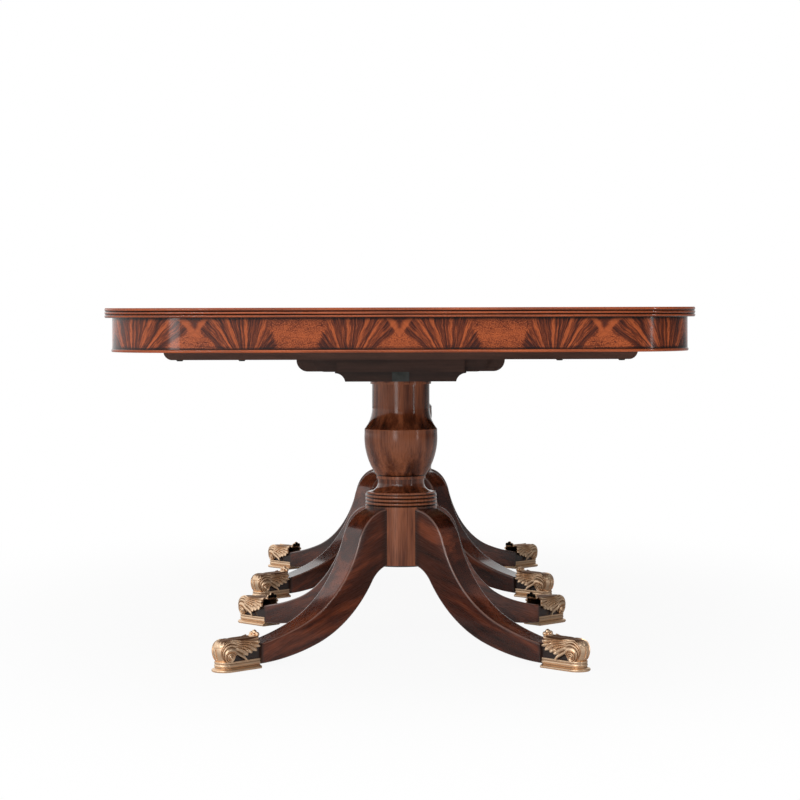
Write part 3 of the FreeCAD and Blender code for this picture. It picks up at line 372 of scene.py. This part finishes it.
def hood():
    """Toe and sides in one sheet: section r(q), z(q) changes from flat-sided to bellied towards the toe,
    then tongues, a beaded band's ground and plumes rise along the sheet's own normal."""
    heel, thickness = -76.0, 2.0
    edge_u, edge_z = (heel, -66, -31, -15, -5), (52, 45, 38.5, 34, belly_foot_z)
    side_to, over_to = 0.5, 0.85
    tongue_at, tongue_half, tongue_foot, tongue_arch = 23.0, 17.0, 31.0, 9.0
    band_z, plumes = 52.5, 7
    u, cos, sin, angle = horseshoe(heel, 30, 71)
    q = np.linspace(0, 1, 66)[None, :]
    toe = smooth(toe_starts, toe_full, u)[:, None]
    low = np.interp(u, edge_u, edge_z)[:, None]
    side = np.clip(q / side_to, 0, 1)
    over = np.clip((q - side_to) / (over_to - side_to), 0, 1) * np.pi / 2
    flat = np.clip((q - over_to) / (1 - over_to), 0, 1)
    straight_r = (side_flat + side_round * np.cos(over)) * (1 - flat)
    straight_z = low + (shoulder_z - low) * side + side_round * np.sin(over) - 1.5 * flat ** 2
    belly_r = belly_foot_r + belly_swell * np.sin(side * np.pi / 2) ** fullness
    dome_r = (dome_top_r + dome_swell * np.cos(over) ** fullness) * (1 - flat)
    bulged_r = np.where(q < side_to, belly_r, dome_r)
    bulged_z = low + (dome_foot_z - low) * side + dome_rise * np.sin(over) + 0.6 * flat
    r = straight_r + (bulged_r - straight_r) * toe
    z = straight_z + (bulged_z - straight_z) * toe
    points = stand(u, cos, sin, r, z)
    normal = np.cross(np.gradient(points, axis=0), np.gradient(points, axis=1))
    normal /= np.maximum(np.linalg.norm(normal, axis=-1, keepdims=True), 1e-9)
    outward = np.stack([cos, sin, 0 * cos], -1)[:, None, :] + np.array([0, 0, 0.4])
    normal *= np.sign((normal * outward).sum(-1, keepdims=True))
    about = angle[:, None]
    front = smooth(58, 46, np.abs(about)) * (u[:, None] >= -1)
    away = np.abs(np.abs(about) - tongue_at) / tongue_half
    foot = tongue_foot + tongue_arch * (1 - np.sqrt(np.clip(1 - away ** 2, 0, 1)))
    hanging = smooth(0, 4, z - foot) * smooth(53, 50, z)
    tongue = hanging * smooth(1.05, 0.85, away)
    rim = hanging * np.exp(-((away - 0.92) / 0.14) ** 2)
    band = np.exp(-((z - band_z) / 1.3) ** 2)
    plume = np.abs(np.cos(np.radians(about) * plumes)) * smooth(54, 57, z) * smooth(66, 62, z)
    height = front * (0.7 * tongue + 0.5 * rim + 0.9 * band + 1.0 * plume)
    # Raised work is lighter; the roof from z 59 to 65, bar the plumes, is darkened as painted shade.
    hollow = 0.30 - 0.4 * height + 0.75 * smooth(59, 65, z) * (1 - 0.8 * plume * front)
    outer = points + normal * height[..., None]
    inner = points - normal * thickness
    inner[..., 2] = np.maximum(inner[..., 2], low)
    whole = np.concatenate([outer[:, ::-1], inner], 1)
    # The inside of the shell is darkened as painted shade.
    shade = np.concatenate([hollow[:, ::-1], np.full_like(hollow, 1.2)], 1)
    return whole, quads(*whole.shape[:2], capped=True), shade


def embossed(hand, s, z, height, hollow):
    """Closed sheet on the hood's face at length s round the plan and height z: its front stands off by
    height along the face's normal, its back is sunk in the face. hand is +1 or -1 for the side."""
    sunk, short_of_top = 1.2, 0.999
    toe = smooth(toe_starts, toe_full, s)
    crown = np.clip((z - shoulder_z) / side_round, 0, short_of_top)
    flat_r = side_flat + side_round * np.sqrt(1 - crown ** 2)
    climb = np.clip((z - belly_foot_z) / (dome_foot_z - belly_foot_z), 0, 1)
    belly_r = belly_foot_r + belly_swell * np.sin(climb * np.pi / 2) ** fullness
    dome = np.clip((z - dome_foot_z) / dome_rise, 0, short_of_top)
    dome_r = dome_top_r + dome_swell * (1 - dome ** 2) ** (fullness / 2)
    r = flat_r + (np.where(z < dome_foot_z, belly_r, dome_r) - flat_r) * toe
    turn = np.maximum(s, 0) / toe_turn
    face = np.stack([np.minimum(s, 0) + r * np.sin(turn), r * np.cos(turn), z], -1)
    normal = np.cross(np.gradient(face, axis=0), np.gradient(face, axis=1))
    normal /= np.maximum(np.linalg.norm(normal, axis=-1, keepdims=True), 1e-9)
    away = np.stack([np.maximum(face[..., 0], 0), face[..., 1], np.full_like(z, 6.0)], -1)
    normal *= np.sign((normal * away).sum(-1, keepdims=True))
    sheet = np.concatenate([face + normal * height[..., None], (face - normal * sunk)[:, ::-1]], 1)
    shade = np.concatenate([hollow, np.full_like(hollow, 0.9)], 1)
    return sheet * np.array([1, hand, 1]), quads(*sheet.shape[:2], ring=True, capped=True), shade


def acanthus(hand):
    """Side leaf: rib a winds out of the volute as a spiral, ray r + (reach - r) smooth(wind), to its own
    bearing, then arches on as a Hermite curve to its own tip; the last rib is the stem down to the plinth.
    Ribs |cos(pi a / 2)| part into fronds |cos(pi a)| with a vein in each and eyes pierced in the forks."""
    tips_u = (-78, -76, -77, -67, -53, -42, -41)
    tips_z = (66.5, 58, 48.5, 39.5, 36.5, 33.5, 21.5)
    reaches = (33.5, 32.0, 30.5, 28.0, 25.0, 22.0, 14.5)
    springs = (95, 97, 99, 101, 104, 108, 134)
    points_at = (170, 190, 206, 222, 232, 240, 216)
    eyes = ((-26, 49.5), (-38, 51.5), (-51, 56), (-42, 44.5), (-59, 49))
    last = len(tips_u) - 1
    ribs = np.arange(last + 1)
    a = np.linspace(0, last, 20 * last + 1)[:, None]
    t = np.linspace(0, 1, 72)[None, :]
    lobe = np.abs(np.cos(np.pi * a))
    first_bearing, leaves_at = -55.0, 0.44
    spring = np.interp(a, ribs, springs)
    reach = np.interp(a, ribs, reaches)
    wind = np.clip(t / leaves_at, 0, 1)
    bearing = np.radians((spring - first_bearing) * wind + first_bearing)
    ray = volute_r + (reach - volute_r) * (0.05 + 0.95 * smooth(0, 1, wind))
    wound = [volute_u + ray * np.cos(bearing), volute_z + ray * np.sin(bearing)]
    start = [volute_u + reach * np.cos(np.radians(spring)), volute_z + reach * np.sin(np.radians(spring))]
    end = [np.interp(a, ribs, tips) for tips in (tips_u, tips_z)]
    span = np.hypot(end[0] - start[0], end[1] - start[1])
    leave = np.radians(spring + 90)
    point = np.radians(np.interp(a, ribs, points_at))
    heading = [(np.cos(leave), np.cos(point)), (np.sin(leave), np.sin(point))]
    notch = 0.04 + 0.06 * smooth(1, 3, a) + 0.22 * smooth(5, 5.4, a)
    w = np.clip((t - leaves_at) / (1 - leaves_at), 0, 1) * (1 - notch * (1 - lobe ** 0.6))
    run = [
        (2 * w ** 3 - 3 * w ** 2 + 1) * start[k] + (w ** 3 - 2 * w ** 2 + w) * span * heading[k][0]
        + (3 * w ** 2 - 2 * w ** 3) * end[k] + (w ** 3 - w ** 2) * span * heading[k][1]
        for k in (0, 1)
    ]
    s, z = (np.where(t < leaves_at, wound[k], run[k]) for k in (0, 1))
    frond = smooth(leaves_at, 0.66, t)
    rib = np.abs(np.cos(np.pi * a / 2)) ** 1.1
    ridge = (rib + (lobe ** 1.1 - rib) * frond) * smooth(0, 0.06, t)
    vein = np.exp(-((a - np.round(a)) / 0.11) ** 2) * smooth(0.56, 0.68, t) * smooth(0.98, 0.90, t)
    curl = smooth(0.88, 1.0, t) * smooth(0, 1, a)
    height = 0.5 + (2.3 + 0.8 * frond) * ridge - 1.3 * vein + 1.0 * curl
    hollow = 1.12 - 1.3 * ridge + 0.8 * vein - 0.45 * curl
    for eye_u, eye_z in eyes:
        off = np.hypot(s - eye_u, z - eye_z)
        pit = np.exp(-(off / 1.5) ** 2)
        ring = np.exp(-((off - 2.9) / 1.1) ** 2)
        height = height + 1.0 * ring - 1.6 * pit
        hollow = hollow - 0.6 * ring + 1.0 * pit
    return embossed(hand, s, z, np.maximum(height, 0.1), np.minimum(hollow, 1.12))


def volute(hand):
    """Scroll of three turns, ridge |cos(pi (ray / pitch - angle / 2 pi))| on a low dome, an eye on top."""
    pitch, eye_r = 3.8, 2.3
    angle = np.linspace(0, 2 * np.pi, 61)[:, None]
    ray = np.linspace(0.05, volute_r, 56)[None, :]
    ridge = np.abs(np.cos(np.pi * (ray / pitch - angle / (2 * np.pi)))) ** 1.1 * smooth(2.0, 3.4, ray)
    eye = np.sqrt(np.clip(1 - (ray / eye_r) ** 2, 0, 1))
    height = 1.0 + 2.6 * ridge + 3.4 * eye + 1.2 * (1 - ray / volute_r)
    s = volute_u + ray * np.cos(angle)
    z = volute_z + ray * np.sin(angle)
    return embossed(hand, s, z, height, 1.1 - 1.3 * np.maximum(ridge, eye))


def berry(centre, sizes, painted_black_shade=0.0):
    """Closed ellipsoid about a centre, painted darker underneath as shade and, by its last argument, painted
    black at the back as shade.
    """
    fall = np.linspace(0, np.pi, 13)[:, None]
    turn = np.linspace(0, 2 * np.pi, 25)[None, :-1]
    unit = np.stack([np.sin(fall) * np.cos(turn), np.sin(fall) * np.sin(turn), np.cos(fall) + 0 * turn], -1)
    points = np.array(centre) + unit * np.array(sizes)
    # Painted shade: darker underneath, and near black at the back by the last argument.
    hollow = 0.25 - 0.35 * np.cos(fall) + painted_black_shade * smooth(0.1, 0.5, -unit[..., 0])
    return points, quads(*points.shape[:2], ring=True), hollow


def pearls():
    """Beads in a band round the toe and in a string down its front."""
    bead_r, band_r, band_z, string_r = 1.35, 24.1, 52.6, 25.3
    band = np.radians(np.arange(-49, 50, 7.0))
    string = np.arange(27.5, 50.5, 2.7)
    places = [(band_r * math.cos(b), band_r * math.sin(b), band_z) for b in band]
    places += [(string_r - 0.012 * (dome_foot_z - z) ** 2, 0.0, z) for z in string]
    return [berry(p, (bead_r, bead_r, bead_r)) for p in places]


def bud():
    """Lobes on the instep: a tall one and a flat base, two at the sides and two small ones before them."""
    lobes = [berry((-84, 0, 74.5), (5.2, 6.4, 6.4), 1.4), berry((-80, 0, 66.5), (8, 15.5, 4.6), 0.8)]
    lobes += [berry((-84, 9.5 * hand, 71.5), (4.6, 5.2, 5.0), 1.4) for hand in (1, -1)]
    return lobes + [berry((-78, 4.8 * hand, 70.5), (3.2, 3.0, 3.4)) for hand in (1, -1)]


brass, shader, place = surface("cast_brass", Metallic=1.0)
hollow = place.node("Attribute", {"attribute_name": "hollow"}, output="Fac")
mottle = place.noise(160.0, 3.0)
# Dark patina in the hollows; the same mask also carries painted shade under the beads and lobes, behind the
# bud, on the hood's roof and inside the hood.
patina_and_shade = (hollow + mottle * 0.35).rise(0.28, 1.08)
brass_colour = patina_and_shade.blend((0.92, 0.665, 0.450, 1.0), (0.330, 0.180, 0.095, 1.0))
# Above 1.15 the colour goes near black: painted shade at the backs of the bud's lobes and a little inside
# the hood.
painted_black_shade = hollow.rise(1.15, 1.45).blend(brass_colour, (0.012, 0.010, 0.009, 1.0))
grit = place.noise(700.0, 2.0).relief(0.12, 0.0006)
feed(shader, Base_Color=painted_black_shade, Roughness=patina_and_shade * 0.16 + 0.42 + mottle * 0.1, Normal=grit)

cap = [plinth(), hood()]
cap += [make(hand) for make in (acanthus, volute) for hand in (1, -1)]
cap += bud() + pearls()
millimetre = 0.001
plinth_reach = 28.0 * millimetre
corners = (("left_front", -1, -1), ("right_front", 1, -1), ("right_back", 1, 1), ("left_back", -1, 1))
for half in ("near", "far"):
    for corner, across, away in corners:
        node = f"toe_cap_{corner}_{half}"
        low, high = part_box(node)
        toe_x = high.x - plinth_reach if across > 0 else low.x + plinth_reach
        toe_y = high.y - plinth_reach if away > 0 else low.y + plinth_reach
        diagonal = math.sqrt(0.5) * millimetre
        to_world = np.array([
            [across * diagonal, -away * diagonal, 0, toe_x],
            [away * diagonal, across * diagonal, 0, toe_y],
            [0, 0, millimetre, 0],
        ])
        piece(f"cast_cap_{corner}_{half}", cap, to_world, brass, "antique_brass", f"{half}_half", node)


# Ironwork: the disc under each drum that keeps the legs in their dovetails, the stay plates on the front
# and back of each pedestal plate, the cross bearers' bolts and the pins in the split of the top. Shown as
# steel, black from the forge and lightly oiled.
steel, shader, place = surface("dark_steel", Metallic=1.0)
dull = place.noise(60.0, 3.0)
scale = place.noise(420.0, 2.0)
feed(
    shader,
    Base_Color=(dull * 1.4 + 0.5).blend((0.045, 0.048, 0.045, 1.0), (0.095, 0.10, 0.095, 1.0)),
    Roughness=scale * 0.3 + 0.46,
    Normal=scale.relief(0.1, 0.0005),
)
dress(steel, "leg_brace_disc", "stay_plates", "bearer_bolts", "alignment_pins")


# Pedestal plate, bearers, cleats and blocks: planed mahogany boards that carry the top on the columns,
# glued and screwed, stained dark and thinly polished because they lie in shade. The lower boards are
# painted darker still as shade.
bearer_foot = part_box("cross_bearer_near")[0].z
plate_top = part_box("pedestal_plate_near")[1].z

carcase, shader, place = surface("carcase_mahogany", Specular_IOR_Level=0.3)
x, y, z = place.parts()
grain = place.vector(x * 4.0, y * 60.0, z * 60.0).noise(1.0, 4.0, 0.6)
wood = (grain + 0.5).ramp((0.28, (0.054, 0.024, 0.016)), (0.72, (0.145, 0.068, 0.047)))
above_plate = z.rise(plate_top - 0.001, plate_top + 0.001)
at_bearer = z.rise(bearer_foot - 0.001, bearer_foot + 0.001)
# Painted shade: the pedestal plate darkest, the boards between lighter, the cross bearers lightest.
painted_shade_by_height = at_bearer * 0.50 + above_plate * 0.22 + 0.50
feed(shader, Base_Color=wood.darken(painted_shade_by_height), Roughness=grain * 0.2 + 0.42)
dress(carcase, "pedestal_plate", "pedestal_bearer", "bearer_cleats", "cross_bearer", "packing_blocks")


# Slides: straight-grained hardwood runners that telescope between the halves, tongue in groove, waxed and
# left pale. A batten under each half of the top closes the outer ends of its fixed runners.
runner, shader, place = surface("slide_hardwood", Specular_IOR_Level=0.3)
x, y, z = place.parts()
grain = place.vector(x * 70.0, y * 3.0, z * 70.0).noise(1.0, 4.0, 0.6)
wood = (grain + 0.5).ramp((0.3, (0.15, 0.075, 0.035)), (0.7, (0.33, 0.19, 0.095)))
feed(shader, Base_Color=wood, Roughness=grain * 0.2 + 0.45)
dress(runner, "slide_batten", "fixed_runners", "middle_runners")


# Apron: flame mahogany veneer on bent and straight rails, its leaves book-matched along the whole run.
# Each leaf is a crotch cut: stripes fan up from a point below the rail, fold over into a dark plume on one
# side, and leave plain speckled wood along both seams.
low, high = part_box("corner_rail_left_near")
straight_half, corner_y = -high.x, -high.y
bend = high.x - low.x
rail_foot, rail_top = low.z, high.z
leaf, corner_leaf = 0.2045, 0.285
fan_apex = rail_foot - 0.045
plain_from, plain_lean, vee_lean = 0.0647, 0.44, 1.4
widest = 62.0
# Stripes of a fan, by degrees from upright: 0 is the darkest wood and 1 the lightest
fan_tones = (
    (-62, 0.70), (-50, 0.62), (-46, 0.24), (-42, 0.20), (-40, 0.62), (-38, 0.26), (-35, 0.42), (-32.5, 0.95),
    (-30, 0.34), (-26, 0.30), (-22, 0.56), (-19.5, 0.82), (-16, 0.34), (-9, 0.28), (-6, 0.46), (-3, 0.22),
    (0, 0.86), (2.5, 0.24), (7, 0.30), (10, 0.44), (13, 0.26), (18, 0.34), (21, 0.90), (24, 0.36),
    (28, 0.60), (30, 0.22), (34, 0.12), (62, 0.14),
)


def run_along(x, y, radius):
    """Length along the apron from the middle of its end: straight, then round the corner, then back."""
    inside = x.maths("MINIMUM", abs(x), straight_half)
    beyond = abs(x) - inside
    past = abs(y) - corner_y
    swing = x.maths("ARCTAN2", beyond, x.maths("MAXIMUM", past, 0.0))
    return inside + swing * radius + x.maths("MAXIMUM", 0.0 - past, 0.0) * beyond.rise(0.0, 0.001)


veneer, shader, place = surface(
    "flame_veneer", Specular_IOR_Level=0.2, Coat_Weight=0.5, Coat_Roughness=0.13
)
x, y, z = place.parts()
run = run_along(x, y, bend)
on_corner = run.maths("MINIMUM", run.maths("MAXIMUM", run - 2 * leaf, 0.0), corner_leaf)
run = run - on_corner * (1.0 - leaf / corner_leaf)
side = ((run / leaf).fold(1.0) - 0.5) * leaf
height = z - fan_apex
rail = z - rail_foot
wander = place.vector(run * 14.0, z * 14.0, 0.0).noise(1.0, 2.0)
turn = side.maths("ARCTAN2", side, height) * (180 / math.pi) + wander * 8.0
ray = side.length(height)
fray = place.vector(turn * 0.30, ray * 60.0, run * 0.5).noise(1.0, 4.0, 0.65)
frayed = turn + fray * 9.0
fan = (frayed / (2 * widest) + 0.5).ramp(*[(d / (2 * widest) + 0.5, (t, t, t)) for d, t in fan_tones])
hair = place.vector(turn * 0.34, ray * 11.0, run * 0.9).noise(1.0, 4.0, 0.7)
glint = abs(place.vector(turn * 0.21, ray * 7.0, run * 0.4).noise(1.0, 3.0, 0.6)).rise(0.045, 0.0)
striped = fan + hair * 1.8 + glint * 0.35
speckle = place.vector(run * 420.0, z * 420.0, 0.0).noise(1.0, 2.0)
mottle = place.vector(run * 45.0, z * 45.0, 5.0).noise(1.0, 3.0, 0.6)
fleck = place.vector(run * 170.0, z * 260.0, 2.0).noise(1.0, 2.0).rise(0.06, 0.22)
quiet = 0.78 + mottle * 0.9 + speckle * 1.7 - fleck * 0.3 - rail.rise(0.03, 0.062) * 0.12
seam = side + leaf / 2
ragged = place.vector(run * 60.0, z * 60.0, 9.0).noise(1.0, 2.0) * 0.012
vee = rail - (seam + ragged) * vee_lean
crest = 0.92 + hair * 0.9 - vee.rise(0.034, 0.052) * 0.65
inner = (frayed + hair * 8.0).rise(-47.0, -52.0)
striped = striped + (quiet - striped) * inner
striped = striped + (crest - striped) * vee.rise(0.020, 0.028)
feather = place.vector(turn * 0.30, ray * 24.0, 3.0).noise(1.0, 4.0, 0.7)
plain = (side - plain_from + rail * plain_lean + feather * 0.05).rise(-0.006, 0.006)
wisp = place.vector(run * 18.0, z * 260.0, 4.0).noise(1.0, 2.0).rise(-0.1, 0.2)
wisp = wisp * rail.rise(0.016, 0.0) * 0.4
tone = striped + (quiet - striped) * plain + speckle * 0.12 - wisp
wood = tone.ramp(
    (0.12, (0.048, 0.009, 0.005)), (0.48, (0.165, 0.031, 0.010)), (0.95, (0.500, 0.107, 0.029))
)
# Painted shadow under the lipping's overhang at the top of the rail, and a dark line along the rail's foot
# above the bead.
lines = z.rise(rail_top - 0.006, rail_top - 0.001) + rail.rise(0.0055, 0.0010)
feed(shader, Base_Color=wood.darken(1.0 - lines * 0.8), Roughness=speckle * 0.12 + 0.26)
dress(veneer, "end_rail", "corner_rail_left", "corner_rail_right", "side_rail_left", "side_rail_right")


# Reeded lipping and apron bead: solid mahogany strips, grain along them, moulded and bent at the corners.
# The lipping is glued round the top and worked with three reeds; the quirks between are painted dark as
# shade, and the bead is painted lighter as a highlight.
low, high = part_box("reeded_edge_near")
lip_foot, lip_top = low.z, high.z
reed_height = (lip_top - lip_foot) / 3

lipping, shader, place = surface("edge_mahogany", Specular_IOR_Level=0.2, Coat_Roughness=0.05)
x, y, z = place.parts()
run = run_along(x, y, bend)
grain = place.vector(run * 5.0, z * 240.0, 0.0).noise(1.0, 4.0, 0.6)
speckle = place.vector(run * 160.0, z * 700.0, 0.0).noise(1.0, 1.0)
wood = (grain + 0.5).ramp((0.25, (0.150, 0.029, 0.009)), (0.75, (0.570, 0.122, 0.032)))
reed = ((lip_top - z) / reed_height).fold(0.5)
# Painted shade in the quirks between the reeds.
quirk = reed.rise(0.30, 0.12) * z.within(lip_foot - 0.001, lip_top - reed_height * 0.55, 0.0006)
bead_quirk = z.within(rail_foot - 0.0012, rail_foot + 0.001, 0.0005)
shade = (speckle.rise(-0.25, 0.05) * 0.3 + 0.7) * (1.0 - quirk * 0.92) * (1.0 - bead_quirk * 0.8)
# Painted highlight: the bead below the rail is a quarter lighter.
shade = shade * (1.0 + z.rise(rail_foot, rail_foot - 0.001) * 0.25)
brow = z.rise(lip_top - 0.002, lip_top - 0.001)
feed(
    shader,
    Base_Color=wood.darken(shade),
    Roughness=speckle * 0.12 + 0.24 + brow * 0.4,
    Coat_Weight=0.5 - brow * 0.5,
)
dress(lipping, "reeded_edge", "apron_bead")


# Top: a field of book-matched flame veneer inside a straight-grained crossband, parted by a pale string.
# Veneer on a jointed mahogany ground, French polished.
low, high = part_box("top_panel_near")
edge_x, edge_y = high.x, -low.y
round_corner = edge_x - straight_half
band_width, string_width = 0.085, 0.0035
leaf_length = 0.62

table_top, shader, place = surface(
    "top_veneer", Specular_IOR_Level=0.0, Coat_Weight=0.3, Coat_Roughness=0.14
)
x, y, z = place.parts()
side_in = edge_x - abs(x)
end_in = edge_y - abs(y)
in_x = x.maths("MAXIMUM", round_corner - side_in, 0.0)
in_y = x.maths("MAXIMUM", round_corner - end_in, 0.0)
inset = x.maths("MINIMUM", x.maths("MINIMUM", side_in, end_in), round_corner - in_x.length(in_y))
border = inset.rise(band_width + 0.0003, band_width - 0.0003)
string = inset.within(band_width, band_width + string_width, 0.0003)
along = (abs(y) / leaf_length).fold(1.0) * leaf_length
spine = abs(x) + 0.03
rising = along - spine.maths("SQRT", spine) * 0.62 + spine * 0.35
drift = place.vector(abs(x) * 4.0, along * 4.0, 2.0).noise(1.0, 2.0)
plume = place.vector(abs(x) * 2.0, (rising + drift * 0.10) * 17.0, y * 0.3).noise(1.0, 4.0, 0.6)
hair = place.vector(abs(x) * 9.0, (rising + drift * 0.05) * 120.0, 1.0).noise(1.0, 3.0, 0.6)
heart = abs(x).rise(0.22, 0.0)
tone = 0.58 + plume * 1.7 + hair * 0.55 - heart * 0.22
field = tone.ramp(
    (0.10, (0.042, 0.014, 0.009)), (0.5, (0.175, 0.053, 0.022)), (0.95, (0.420, 0.138, 0.055))
)
at_side = (end_in - side_in).rise(-0.001, 0.001)
cross_side = place.vector(x * 4.0, y * 90.0, 0.0).noise(1.0, 4.0, 0.6)
cross_end = place.vector(x * 90.0, y * 4.0, 0.0).noise(1.0, 4.0, 0.6)
cross = cross_end + (cross_side - cross_end) * at_side
band = (cross + 0.5).ramp((0.3, (0.080, 0.023, 0.011)), (0.7, (0.260, 0.082, 0.034)))
veneers = string.blend(border.blend(field, band), (0.46, 0.29, 0.13, 1.0))
feed(shader, Base_Color=veneers, Roughness=hair * 0.04 + 0.25)
dress(table_top, "top_panel")


# Latches and keepers under the split: flat hooks that swing on pivots let into the near half of the top,
# catch studs on the far half and lock the two together. Shown in tarnished brass.
fitting, shader, place = surface("latch_brass", Metallic=1.0)
tarnish = place.noise(80.0, 3.0)
feed(
    shader,
    Base_Color=(tarnish * 1.5 + 0.5).blend((0.30, 0.20, 0.09, 1.0), (0.55, 0.39, 0.19, 1.0)),
    Roughness=tarnish * 0.3 + 0.36,
)
dress(fitting, "latch_left", "latch_right", "latch_keepers")


# Studio: a plain white floor that runs out of sight, a white backdrop behind the table and down its left
# side, a dimmer room behind the camera, an overhead softbox, a large front fill, two upright strips that
# draw the polish on the apron's corners, and two small spots.
reach = 12.0
floor_mesh = bpy.data.meshes.new("studio_floor")
floor_corners = [(-reach, -reach, 0), (reach, -reach, 0), (reach, reach, 0), (-reach, reach, 0)]
floor_mesh.from_pydata(floor_corners, [], [(0, 1, 2, 3)])
floor = bpy.data.objects.new("studio_floor", floor_mesh)
bpy.context.scene.collection.objects.link(floor)
paper, shader, place = surface("white_floor", Roughness=0.9, Specular_IOR_Level=0.0, Emission_Strength=1.0)
x, y, z = place.parts()
seen = place.node("LightPath", output="Is Camera Ray")
far_off = x.length(y * 0.7).rise(0.6, 1.7)
glow = seen * (0.93 + far_off * 0.07)
feed(
    shader,
    Base_Color=(1.0 - glow).blend((0.0, 0.0, 0.0, 1.0), (0.8, 0.8, 0.8, 1.0)),
    Emission_Color=glow.blend((0.0, 0.0, 0.0, 1.0), (1.0, 1.0, 1.0, 1.0)),
)
floor_mesh.materials.append(paper)

world = bpy.data.worlds.new("white_room")
bpy.context.scene.world = world
world.use_nodes = True
tree = world.node_tree
room = Field(tree)
seen = room.node("LightPath", output="Is Camera Ray")
through = room.node("LightPath", output="Is Transmission Ray")
mirrored = room.maths("MAXIMUM", room.node("LightPath", output="Is Glossy Ray"), through)
x, y, z = room.node("TexCoord", output="Generated").parts()
backdrop = (y * 0.5 - x * 0.85).rise(-0.4, 0.7)
ambient = 0.28 - x.rise(0.2, 0.9) * 0.15 + backdrop * (0.40 + mirrored * 0.32)
strength = ambient + (1.0 - ambient) * seen
tree.links.new(strength.socket, tree.nodes["Background"].inputs["Strength"])
tree.nodes["Background"].inputs["Color"].default_value = (1.0, 1.0, 1.0, 1.0)


def softbox(name, place, target, width, height, watts):
    """A rectangular lamp that faces a point."""
    lamp = bpy.data.lights.new(name, "AREA")
    lamp.shape = "RECTANGLE"
    lamp.size = width
    lamp.size_y = height
    lamp.energy = watts
    made = bpy.data.objects.new(name, lamp)
    made.location = place
    made.rotation_euler = (Vector(target) - Vector(place)).to_track_quat("-Z", "Y").to_euler()
    bpy.context.scene.collection.objects.link(made)


softbox("overhead", (0.0, -0.4, 3.6), (0.0, -0.2, 0.4), 3.0, 2.4, 30.0)
softbox("front_fill", (-2.4, -6.8, 3.6), (0.0, -0.8, 0.5), 7.0, 3.4, 160.0)
softbox("corner_strip", (-1.75, -6.1, 1.0), (-0.45, -1.2, 0.7), 1.2, 1.9, 30.0)
softbox("right_strip", (3.4, -3.1, 1.1), (0.0, -0.6, 0.5), 0.18, 2.0, 8.0)
softbox("left_spot", (-0.9, -5.2, 2.6), (0.0, -0.6, 0.4), 0.28, 0.28, 6.0)
softbox("right_spot", (3.4, -3.0, 2.5), (0.0, -0.6, 0.4), 0.28, 0.28, 8.0)

camera = bpy.data.cameras.new("photo_camera")
camera.lens = 101.60
camera.sensor_width = 36.0
camera.shift_y = -0.1151
camera_object = bpy.data.objects.new("photo_camera", camera)
camera_object.location = (0.0166, -5.786, 0.774)
camera_object.rotation_euler = (math.radians(90.0), math.radians(0.155), math.radians(0.197))
bpy.context.scene.collection.objects.link(camera_object)
bpy.context.scene.camera = camera_object
bpy.context.scene.view_settings.view_transform = "Standard"
